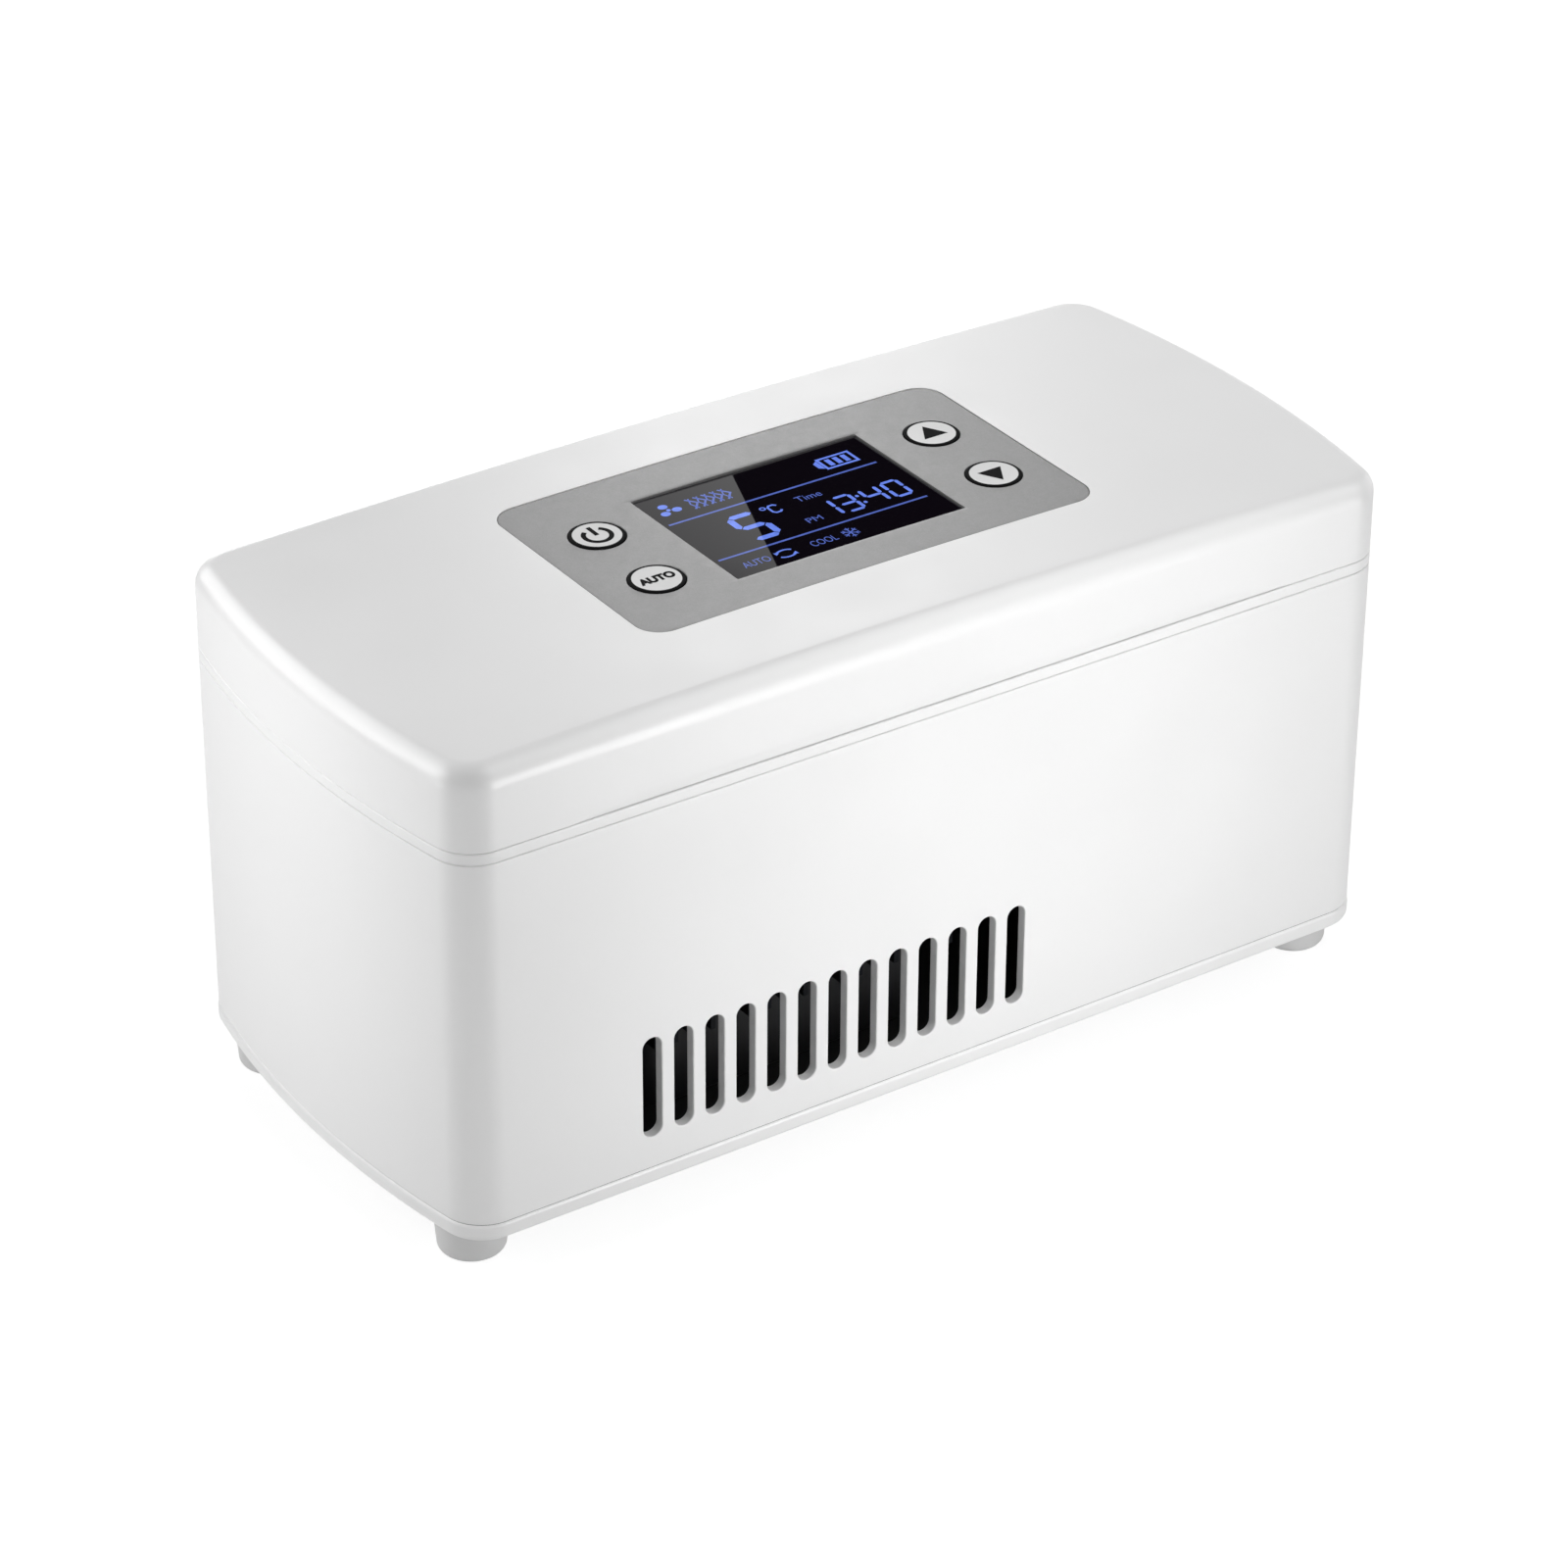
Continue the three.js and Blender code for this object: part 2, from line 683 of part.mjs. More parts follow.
function rimFrame() {
  const deck = caseSolid([[0, bodyTop], [0, rimTop - rimChamfer], [rimChamfer, rimTop]]);
  const skirt = cut(
    caseSolid([[skirtInset, bodyTop - skirtDepth], [skirtInset, bodyTop + rimBand / 2]]),
    caseSolid([
      [skirtInset + skirtWall, bodyTop - skirtDepth - overrun],
      [skirtInset + skirtWall, bodyTop],
    ]),
  );
  const mouth = slab(
    roundedRectangle(chamberLength, chamberWidth, chamberRadius),
    bodyTop - overrun, rimTop + overrun,
  );
  const magnetPockets = twoSides.map(([, side]) =>
    rod(magnetRadius + panelGap, bodyTop - overrun, bodyTop + magnetHeight, side * magnetX, -magnetY));
  const frame = cut(
    join(deck, skirt), mouth, magnetPockets, knuckles(lidKnuckleCentres, lidKnuckle, seatGap),
  );
  return cut(join(frame, knuckles(hingeCentres, rimKnuckle, 0)), hingeBores());
}

function coldChamber() {
  const [outerLength, outerWidth] = [chamberLength + 2 * chamberWall, chamberWidth + 2 * chamberWall];
  const outerRadius = chamberRadius + chamberWall;
  const tub = slab(roundedRectangle(outerLength, outerWidth, outerRadius), chamberBottom, flangeTop);
  const flange = slab(
    roundedRectangle(outerLength + 2 * flangeWidth, outerWidth + 2 * flangeWidth,
      outerRadius + flangeWidth),
    flangeTop - flangeHeight, flangeTop,
  );
  const inside = slab(
    roundedRectangle(chamberLength, chamberWidth, chamberRadius), chamberFloor, flangeTop + overrun,
  );
  return cut(join(tub, flange), inside);
}

function insulation() {
  const tubLength = chamberLength + 2 * (chamberWall + seatGap);
  const tubWidth = chamberWidth + 2 * (chamberWall + seatGap);
  const tubRadius = chamberRadius + chamberWall + seatGap;
  return cut(
    caseSolid([[foamInset, foamBottom], [foamInset, foamTop]]),
    slab(roundedRectangle(tubLength, tubWidth, tubRadius), chamberBottom - seatGap, foamTop + overrun),
    standingBlock(
      slotRowX, 0, blockLength + 2 * seatGap, blockWidth + 2 * seatGap,
      foamBottom - overrun, chamberBottom,
    ),
    standingBlock(
      slotRowX + sensorOffset, 0, sensorLength + 2 * seatGap, sensorWidth + 2 * seatGap,
      chamberBottom - sensorHeight - seatGap, chamberBottom,
    ),
  );
}

const sinkScrewPlaces = [-1, 1].map((side) => slotRowX + (side * sinkScrewSpacing) / 2);

function heatSink() {
  const [x0, x1] = [slotRowX - sinkLength / 2, slotRowX + sinkLength / 2];
  const pitch = (sinkLength - finThickness) / (finCount - 1);
  const comb = new THREE.Shape();
  comb.moveTo(x0, sinkTop);
  for (let i = 0; i < finCount; i += 1) {
    const left = x0 + i * pitch;
    if (i > 0) comb.lineTo(left, sinkTop - sinkPlate);
    comb.lineTo(left, sinkBottom);
    comb.lineTo(left + finThickness, sinkBottom);
    if (i < finCount - 1) comb.lineTo(left + finThickness, sinkTop - sinkPlate);
  }
  comb.lineTo(x1, sinkTop);
  comb.closePath();
  return cut(
    upright(comb, -sinkWidth / 2, sinkWidth / 2),
    sinkScrewPlaces.map((x) =>
      rod(screwHeadRadius + seatGap, sinkBottom - overrun, sinkTop - sinkPlate, x, 0, smallSides)),
    sinkScrewPlaces.map((x) =>
      rod(screwShankRadius + screwGap, sinkBottom, sinkTop + overrun, x, 0, smallSides)),
  );
}

function coldBlock() {
  const tapDepth = sinkScrewLength - sinkPlate - moduleHeight + seatGap;
  return cut(
    standingBlock(slotRowX, 0, blockLength, blockWidth, moduleTop, chamberBottom),
    sinkScrewPlaces.map((x) =>
      rod(screwShankRadius + screwGap, moduleTop - overrun, moduleTop + tapDepth, x, 0, smallSides)),
  );
}

function fanFrame() {
  const spokes = [0, 1].map((turn) => {
    const reach = 2 * fanDuctRadius + overrun;
    const beam = new THREE.BoxGeometry(reach, fanSpoke, fanHubPlate);
    beam.rotateZ(Math.PI / 4 + (turn * Math.PI) / 2);
    return solidOf(beam.translate(0, 0, fanDepth - fanHubPlate / 2));
  });
  const ring = cut(
    slab(roundedRectangle(fanSize, fanSize, fanCorner), 0, fanDepth),
    rod(fanDuctRadius, -overrun, fanDepth + overrun, 0, 0, fineSides),
  );
  return cut(
    join(ring, spokes, rod(fanHubRadius, fanDepth - fanHubPlate, fanDepth)),
    rod(fanShaftRadius + runningGap, 0, fanDepth + overrun),
    squarePattern(fanScrewSpacing).map(([x, y]) =>
      rod(screwShankRadius + screwGap, -overrun, fanDepth + overrun, x, y, smallSides)),
  );
}

// One blade, as thin sloping sections from the hub out to the tip
function fanBlade(turn) {
  const [inner, outer] = [fanHubRadius - overrun, fanDuctRadius - fanTipGap];
  const bladeSteps = 3;
  const middle = fanRotorHeight / 2;
  const rings = Array.from({ length: bladeSteps + 1 }, (_, i) => {
    const radius = inner + ((outer - inner) * i) / bladeSteps;
    const chord = bladeRootChord + ((bladeTipChord - bladeRootChord) * i) / bladeSteps;
    const sweep = chord / (2 * radius);
    const point = (angle, z) => [radius * Math.cos(angle), radius * Math.sin(angle), z];
    return [
      point(turn - sweep, middle - bladeRise / 2 - bladeThickness / 2),
      point(turn + sweep, middle + bladeRise / 2 - bladeThickness / 2),
      point(turn + sweep, middle + bladeRise / 2 + bladeThickness / 2),
      point(turn - sweep, middle - bladeRise / 2 + bladeThickness / 2),
    ];
  });
  return loft(rings);
}

function fanRotor() {
  const blades = Array.from({ length: bladeCount }, (_, i) => fanBlade((2 * Math.PI * i) / bladeCount));
  const hub = rod(fanHubRadius, 0, fanRotorHeight);
  const shaft = rod(fanShaftRadius, fanRotorHeight / 2, fanDepth - rotorBottom - seatGap);
  return join(hub, shaft, blades);
}

function batteryHolder() {
  const [length, width] = [cellLength + 2 * (seatGap + holderWall), 2 * cellPitch + holderWall];
  const roomX = cellLength / 2 + seatGap;
  const roomRadius = cellRadius + panelGap;
  const rooms = [-1, 1].map((side) => join(
    rodAlongX(roomRadius, cellX - roomX, cellX + roomX, (side * cellPitch) / 2, cellAxisZ, fineSides),
    block(
      cellX - roomX, cellX + roomX, (side * cellPitch) / 2 - roomRadius,
      (side * cellPitch) / 2 + roomRadius, cellAxisZ, cellAxisZ + cellRadius,
    ),
  ));
  return cut(standingBlock(cellX, 0, length, width, floorTop, floorTop + holderHeight), rooms);
}

function dcJack() {
  const bodyStart = jackMouth - jackDepth;
  const mouthEnd = jackMouth + jackBarrelLength;
  const shell = join(
    block(
      mainBoardX - jackWidth / 2, mainBoardX + jackWidth / 2, bodyStart, jackMouth,
      mainBoardTop, mainBoardTop + jackHeight,
    ),
    rodAlongY(jackBarrelRadius, jackMouth - jackWidth, mouthEnd, mainBoardX, jackAxisZ),
  );
  const bore = rodAlongY(
    jackBoreRadius, mouthEnd - jackBoreDepth, mouthEnd + overrun, mainBoardX, jackAxisZ,
  );
  const pin = rodAlongY(
    jackPinRadius, mouthEnd - jackBoreDepth - overrun, mouthEnd - seatGap, mainBoardX, jackAxisZ,
    smallSides,
  );
  return join(cut(shell, bore), pin);
}

// The crowned lid body, lowered by a drop
function lidBody(drop) {
  const levels = [[0, lidBottom]];
  for (let i = 0; i <= filletSteps; i += 1) {
    const angle = (i / filletSteps) * (Math.PI / 2);
    const inset = lidEdgeRadius * (1 - Math.cos(angle));
    const below = drop + lidEdgeRadius * (1 - Math.sin(angle));
    levels.push([inset, (x) => lidTopAt(x) - below]);
  }
  return caseSolid(levels);
}

const buttonPlaces = squarePattern(buttonSpacingX, buttonSpacingY, buttonCentreX, buttonCentreY);

function lidShell() {
  const hollow = caseSolid([[wall, lidBottom - overrun], [wall, ceiling]]);
  const screwPosts = squarePattern(2 * lidScrewX, 2 * lidScrewY).map(([x, y]) =>
    rod(lidPostRadius, linerTop, ceiling + lidRoof / 2, x, y, smallSides));
  const boardPosts = squarePattern(
    boardLength - 2 * boardPostInset, boardWidth - 2 * boardPostInset, panelX, panelY,
  ).map(([x, y]) => rod(boardPostRadius, boardTop, ceiling + lidRoof / 2, x, y, smallSides));
  const body = cut(lidBody(0), hollow, knuckles(hingeCentres, rimKnuckle, seatGap));
  const hinge = knuckles(lidKnuckleCentres, lidKnuckle, 0);
  const screwHoles = squarePattern(2 * lidScrewX, 2 * lidScrewY).map(([x, y]) =>
    rod(screwShankRadius + screwGap, linerTop - overrun, ceiling, x, y, smallSides));
  const panelPocket = slab(
    roundedRectangle(panelLength + 2 * panelGap, panelWidth + 2 * panelGap, panelRadius + panelGap,
      panelX, panelY),
    pocketFloor, lidEndTop + lidCrown + overrun,
  );
  const lensPocket = standingBlock(
    windowX, windowY, windowLength + 2 * (lensOverlap + panelGap),
    windowWidth + 2 * (lensOverlap + panelGap), lensBottom, pocketFloor + overrun,
  );
  const displayHole = standingBlock(
    windowX, windowY, windowLength + 2 * (displayOverlap + seatGap),
    windowWidth + 2 * (displayOverlap + seatGap), ceiling - overrun, pocketFloor,
  );
  const buttonHoles = buttonPlaces.map(([x, y]) =>
    rod(buttonRadius + buttonFlange + seatGap, ceiling - overrun, pocketFloor + overrun, x, y));
  const relief = new THREE.Shape([
    new THREE.Vector2(-reliefHalfLength - reliefRun, lidBottom - overrun),
    new THREE.Vector2(reliefHalfLength + reliefRun, lidBottom - overrun),
    new THREE.Vector2(reliefHalfLength + reliefRun, lidBottom),
    new THREE.Vector2(reliefHalfLength, lidBottom + reliefHeight),
    new THREE.Vector2(-reliefHalfLength, lidBottom + reliefHeight),
    new THREE.Vector2(-reliefHalfLength - reliefRun, lidBottom),
  ]);
  return cut(
    join(body, screwPosts, boardPosts, hinge),
    screwHoles, panelPocket, lensPocket, displayHole, buttonHoles, hingeBores(),
    upright(relief, -halfWidth - overrun, -halfWidth + wall + sideBow + overrun),
  );
}

function controlPanel() {
  const outlineShape = roundedRectangle(panelLength, panelWidth, panelRadius, panelX, panelY);
  const sheet = slab(outlineShape, pocketFloor, lidEndTop + lidCrown).intersect(lidBody(panelDrop));
  return cut(
    sheet,
    standingBlock(
      windowX, windowY, windowLength, windowWidth, pocketFloor - overrun, lidEndTop + lidCrown + overrun,
    ),
    buttonPlaces.map(([x, y]) =>
      rod(buttonRadius + buttonGap, pocketFloor - overrun, lidEndTop + lidCrown + overrun, x, y,
        fineSides)),
  );
}

// A button's cap stands up through the panel from a flange that the panel holds in
function buttonCap() {
  const top = lidTopAt(buttonSpacingX / 2) - panelDrop + buttonProud - pocketFloor;
  return turned([
    [0, -buttonFlangeHeight],
    [buttonRadius + buttonFlange, -buttonFlangeHeight],
    [buttonRadius + buttonFlange, 0],
    [buttonRadius, 0],
    [buttonRadius, top - buttonEdge],
    [buttonRadius - buttonEdge, top],
    [0, top],
  ], fineSides);
}

function tactSwitch() {
  return join(
    standingBlock(0, 0, switchSize, switchSize, 0, switchBody),
    rod(switchPlungerRadius, switchBody / 2, switchBody + switchPlunger, 0, 0, smallSides),
  );
}

// The window stands in the panel's opening on a flange that lies under the panel
function displayWindow() {
  const rise = panelThickness - windowDrop;
  return join(
    standingBlock(0, 0, windowLength + 2 * lensOverlap, windowWidth + 2 * lensOverlap,
      0, lensThickness),
    standingBlock(0, 0, windowLength - 2 * panelGap, windowWidth - 2 * panelGap,
      lensThickness / 2, lensThickness + rise),
  );
}

// The seal's loop round the chamber mouth, grown by a play at each side
function sealLoop(play, z0, z1) {
  const loop = (inset) => roundedRectangle(
    chamberLength + 2 * inset, chamberWidth + 2 * inset, chamberRadius + inset,
  );
  return cut(
    slab(loop(gasketInset + gasketWidth + play), z0, z1),
    slab(loop(gasketInset - play), z0 - overrun, z1 + overrun),
  );
}

function lidLiner() {
  const inset = wall + linerGap;
  const places = squarePattern(2 * lidScrewX, 2 * lidScrewY);
  return cut(
    caseSolid([[inset, linerBottom], [inset, linerTop]]),
    places.map(([x, y]) =>
      rod(screwShankRadius + screwGap, linerBottom, linerTop + overrun, x, y, smallSides)),
    places.map(([x, y]) =>
      rod(screwHeadRadius + seatGap, linerBottom - overrun, linerBottom + screwHeadHeight, x, y)),
    twoSides.map(([, side]) =>
      rod(magnetRadius + panelGap, lidMagnetBottom, linerTop + overrun, side * magnetX, -magnetY)),
    sealLoop(panelGap, linerBottom - overrun, linerBottom + gasketSink),
  );
}

// Case: the covers and what stands on the table
add('base_cover', baseCover(), 'white');
add('body_shell', bodyShell(), 'white');
add('rim_frame', rimFrame(), 'white');
fourCorners.forEach(([sideX, sideY], i) => {
  add(`foot_${cornerNames[i]}`, foot(), 'foot', sideX * footX, sideY * footY, 0);
  add(`case_screw_${cornerNames[i]}`, screw(caseScrewLength), 'steel',
    sideX * footX, sideY * footY, footRecessDepth);
});

// Cooling stack, from the chamber down to the fan
add('cold_chamber', coldChamber(), 'aluminium');
add('insulation_foam', insulation(), 'foam');
add('cold_block', coldBlock(), 'aluminium');
add('thermoelectric_module',
  standingBlock(0, 0, moduleSize, moduleSize, 0, moduleHeight), 'ceramic', slotRowX, 0, sinkTop);
add('heat_sink', heatSink(), 'blackAluminium');
sinkScrewPlaces.forEach((x, i) => {
  add(`sink_screw_${twoSides[i][0]}`, screw(sinkScrewLength), 'steel', x, 0, sinkTop - sinkPlate);
});
add('chamber_sensor', standingBlock(0, 0, sensorLength, sensorWidth, 0, sensorHeight), 'black',
  slotRowX + sensorOffset, 0, chamberBottom - sensorHeight);
add('fan_frame', fanFrame(), 'black', slotRowX, 0, floorTop);
add('fan_rotor', fanRotor(), 'black', slotRowX, 0, floorTop + rotorBottom);
squarePattern(fanScrewSpacing, fanScrewSpacing, slotRowX, 0).forEach(([x, y], i) => {
  add(`fan_screw_${cornerNames[i]}`, screw(fanScrewLength), 'steel', x, y, footHeight);
});

// Power
add('battery_holder', batteryHolder(), 'black');
[['front', -1], ['rear', 1]].forEach(([name, side]) => {
  add(`battery_cell_${name}`, rodAlongX(cellRadius, -cellLength / 2, cellLength / 2, 0, 0, fineSides),
    'cell', cellX, (side * cellPitch) / 2, cellAxisZ);
});
add('main_board', standingBlock(0, 0, mainBoardWidth, mainBoardLength, 0, boardThickness), 'board',
  mainBoardX, mainBoardY, mainBoardBottom);
add('dc_jack', dcJack(), 'black');
add('capacitor', rod(capacitorRadius, 0, capacitorHeight), 'black',
  mainBoardX, mainBoardEnd - mainBoardLength / 3, mainBoardTop);
add('inductor', rod(inductorRadius, 0, inductorHeight), 'copper',
  mainBoardX, mainBoardEnd - mainBoardLength / 2, mainBoardTop);
add('control_chip', standingBlock(0, 0, chipSize, chipSize, 0, chipHeight), 'black',
  mainBoardX, mainBoardEnd - (2 * mainBoardLength) / 3, mainBoardTop);

// Hinge pins and closing magnets
twoSides.forEach(([name, side]) => {
  add(`hinge_pin_${name}`,
    rodAlongX(hingePinRadius, -hingeSpan / 2, hingeSpan / 2, 0, 0), 'steel',
    side * hingeX, hingeY, hingeZ);
  add(`case_magnet_${name}`, rod(magnetRadius, 0, magnetHeight), 'steel',
    side * magnetX, -magnetY, bodyTop);
  add(`lid_magnet_${name}`, rod(magnetRadius, 0, magnetHeight), 'steel',
    side * magnetX, -magnetY, lidMagnetBottom);
});

// Lid
add('lid_shell', lidShell(), 'white');
add('lid_liner', lidLiner(), 'softWhite');
add('lid_gasket', sealLoop(0, rimTop, linerBottom + gasketSink), 'rubber');
add('lid_foam',
  slab(roundedRectangle(lidFoamLength, lidFoamWidth, lidFoamRadius), linerTop, boardBottom - seatGap),
  'foam');
squarePattern(2 * lidScrewX, 2 * lidScrewY).forEach(([x, y], i) => {
  add(`lid_screw_${cornerNames[i]}`, screw(lidScrewLength), 'steel',
    x, y, linerBottom + screwHeadHeight);
});

// Control panel
add('control_panel', controlPanel(), 'grey');
add('display_window', displayWindow(), 'glass', windowX, windowY, lensBottom);
add('display_module',
  standingBlock(0, 0, windowLength + 2 * displayOverlap, windowWidth + 2 * displayOverlap,
    0, displayHeight),
  'black', windowX, windowY, boardTop);
add('display_board', standingBlock(0, 0, boardLength, boardWidth, 0, boardThickness), 'board',
  panelX, panelY, boardBottom);
['auto', 'down', 'power', 'up'].forEach((name, i) => {
  const [x, y] = buttonPlaces[i];
  add(`${name}_button`, buttonCap(), 'button', x, y, pocketFloor);
  add(`${name}_switch`, tactSwitch(), 'black', x, y, boardTop);
});

export default cooler;
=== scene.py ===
import json
from functools import cached_property
from math import atan2, cos, hypot, pi, radians, sin, sqrt

import bmesh
import bpy
from mathutils import Matrix, Vector


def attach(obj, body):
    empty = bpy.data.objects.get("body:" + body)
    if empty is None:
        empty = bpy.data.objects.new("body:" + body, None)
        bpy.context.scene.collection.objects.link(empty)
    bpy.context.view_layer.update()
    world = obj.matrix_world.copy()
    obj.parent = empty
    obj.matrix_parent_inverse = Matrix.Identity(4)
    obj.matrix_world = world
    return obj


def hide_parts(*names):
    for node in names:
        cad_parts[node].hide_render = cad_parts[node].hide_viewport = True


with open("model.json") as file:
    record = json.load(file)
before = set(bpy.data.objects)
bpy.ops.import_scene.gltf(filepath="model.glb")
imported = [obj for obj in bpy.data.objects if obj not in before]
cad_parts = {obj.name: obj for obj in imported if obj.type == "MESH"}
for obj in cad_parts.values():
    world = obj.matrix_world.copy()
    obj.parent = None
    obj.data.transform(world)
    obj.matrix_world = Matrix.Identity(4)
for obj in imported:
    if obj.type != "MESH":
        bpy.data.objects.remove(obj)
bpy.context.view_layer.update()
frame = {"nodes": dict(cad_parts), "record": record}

# Sizes are in millimetres, in the frame's axes; meshes are written in metres
METRE = 1000

# Case outline, as the solids have it
HALF_LENGTH, HALF_WIDTH = 102.5, 46.9
END_BOW, SIDE_BOW, CORNER_RADIUS = 5.2, 0.2, 8.2

# Heights
BASE_BOTTOM, FLOOR_TOP, BASE_TOP = 8.4, 10.4, 11.5
BODY_TOP, RIM_TOP = 83.8, 86.2
LID_BOTTOM, LID_END_TOP, LID_CROWN = 86.5, 101.3, 1.75
CEILING, LINER_BOTTOM, LINER_TOP = 99.1, 87, 89.6
POCKET_FLOOR, LENS_BOTTOM, LENS_TOP = 101.5, 100.3, 102.45
POST_TOP = 43.7

# Walls, edges, seams and clearances
WALL, SEAT_GAP, OVERRUN = 2, 0.3, 1
BASE_PROUD, BASE_LOWER_EDGE, BASE_UPPER_EDGE = 0.15, 1.2, 0.8
RIM_SEAM, BASE_SEAM, SEAM_HEIGHT = 0.35, 0.15, 0.3
# The lid's outer wall reaches a little below LID_BOTTOM, onto a ledge round the rim
LID_SKIRT, LID_SKIRT_WALL = 85.9, 1.55
LEDGE_TOP, LEDGE_INSET = 85.8, 1.8
SKIRT_BOTTOM, SKIRT_INSET = 8, 1.9
LIP_INSET, LIP_INNER, LIP_TOP, RIM_LIP = 2.15, 3.65, 14.5, 4
LID_EDGE, EASE, SOFT_EDGE, HOLE_EDGE = 3.8, 0.05, 0.25, 0.1
# A small rounding between an upright face and the lid's top, as (distance back, distance down)
CREASE = [(0.12, 0), (0.035, 0.035), (0, 0.12)]

# Points along each stretch of a quarter of the outline, round circles and over the lid's top
END_STEPS, CORNER_STEPS, SIDE_STEPS, ROUND, TOP_STEPS = 12, 16, 44, 64, 14
SHARP = radians(32)
# The innermost radius of a turned solid, in place of a point on its axis
AXIS = 0.01
SQUARE = ((1, 1), (-1, 1), (-1, -1), (1, -1))


def corners(x, y, middle=0):
    """Names and places of four things that stand symmetrically about a middle."""
    return [(f"{depth}_{side}", middle + sx * x, sy * y)
            for depth, sy in (("front", -1), ("rear", 1)) for side, sx in (("left", -1), ("right", 1))]


# Slots, fan and power socket
SLOT_ROW_X, SLOT_PITCH, SLOT_COUNT = -22.1, 6.457, 13
SLOT_WIDTH, SLOT_BOTTOM, SLOT_TOP = 3.9, 17.9, 38.3
INTAKE_RADIUS, INTAKE_PITCH, INTAKE_SLOT, INTAKE_FLARE = 26, 5.6, 3, 0.3
FAN_BOX = (60, 60, 4, SLOT_ROW_X, 0)
FAN_DEPTH, FAN_DUCT, FAN_HUB, FAN_PLATE = 15, 28.4, 12.5, 3
FAN_SPOKES, SPOKE_HALF, SHAFT_HOLE, SHAFT = 4, 1.5, 1.58, 1.5
ROTOR_HEIGHT, BLADES, BLADE_RISE = 10, 7, 6
SOCKET_X, SOCKET_Z, SOCKET_MOUTH = -75, 25.1, 46.1
SOCKET_RADIUS, SOCKET_BORE, SOCKET_FLOOR, SOCKET_REAR = 3.9, 2.9, 37.1, 35.4
SOCKET_PIN, PIN_TIP = 1, 45.8

# Feet, screws and posts
FOOT_X, FOOT_Y = 91.1, 35.2
FOOT_RECESS, FOOT_BORE, FOOT_TREAD, FOOT_EDGE = 5, 3.3, 6.2, 1.6
FOOT_SIDE = [(6.5, 5.4), (6.7, 7.2), (6.75, BASE_BOTTOM)]
FEET = corners(FOOT_X, FOOT_Y)
FAN_SCREWS = corners(25, 25, SLOT_ROW_X)
LID_SCREWS = corners(91, 34)
SCREW_HOLE, BODY_POST, LID_POST, POST_ROOM = 1.65, 4, 3.2, 4.3
SCREW_HEAD, HEAD_HEIGHT, SCREW_SHANK = 2.7, 1.5, 1.4
HEAD_FLAT, HEAD_EDGE = 1.5, 0.8
THREAD_PITCH, THREAD_DEPTH = 0.8, 0.22
CROSS_REACH, CROSS_HALF, CROSS_DEPTH, CROSS_TAPER = 1.5, 0.32, 0.85, 0.62

# Chamber, seal and magnets; a box is given as length, width, corner radius and middle
CHAMBER = (170, 55, 6, 0, 0)
CHAMBER_FLOOR, CHAMBER_BOTTOM, FLANGE_TOP = 63.5, 62, 83.5
CHAMBER_WALL, CHAMBER_COVE, MOUTH_EDGE = 1.5, 2, 0.5
FLANGE_WIDTH, FLANGE_HEIGHT = 3, 1.2
GASKET_INSET, GASKET_WIDTH, GASKET_TOP, GASKET_ROUND, GASKET_GAP = 2, 3, 87.4, 0.7, 0.1
LINER_INSET, LINER_EDGE = 2.2, 0.45
MAGNETS = [("left", -70, -37), ("right", 70, -37)]
MAGNET_HOLE, MAGNET_HEIGHT = 3.1, 1.5

# Hinges
HINGE_Y, HINGE_Z = 46.9, 86.35
HINGE_RADIUS, PIN_HOLE = 2, 1.08
RIM_KNUCKLE, LID_KNUCKLE = 8, 5
HINGES = (-58, 58)
KNUCKLE_OFFSET = (RIM_KNUCKLE + LID_KNUCKLE) / 2 + SEAT_GAP
LID_KNUCKLES = [x + side * KNUCKLE_OFFSET for x in HINGES for side in (-1, 1)]

# Panel, window and buttons
PANEL = (95.4, 53.6, 5, 1.1, 1.5)
WINDOW = (48.5, 34.7, 0.25, 1.35, 1.05)
PANEL_DROP, PANEL_GAP = 0.1, 0.1
LENS_OVERLAP, LENS_STEP = 2.3, 0.4
BUTTONS = [("auto", -34.55, -8.4), ("down", 37.55, -8.4), ("power", -34.55, 10.9), ("up", 37.55, 10.9)]
BUTTON_RADIUS, BUTTON_GAP, BUTTON_FLANGE, BUTTON_PROUD = 5.15, 0.15, 1, 0.2
BUTTON_RING, BUTTON_EDGE = 4.45, 0.3
# The flange stops just short of the panel's underside, so that the two never touch
FLANGE_GAP = 0.03
INK, LIT_HEIGHT = 0.02, 0.01

# Finger relief under the lid's front edge
RELIEF_HALF, RELIEF_RUN, RELIEF_BAND = 62, 14, 3
SCOOP_HEIGHT, SCOOP_DEPTH = 2.4, 0.45


# Materials

def srgb(*channels):
    """A colour given as 0 to 255 screen values, as linear values."""
    def linear(value):
        share = value / 255
        return share / 12.92 if share <= 0.04045 else ((share + 0.055) / 1.055) ** 2.4
    return tuple(linear(channel) for channel in channels) + (1,)


def shade(colour, factor):
    return tuple(channel * factor for channel in colour[:3]) + (1,)


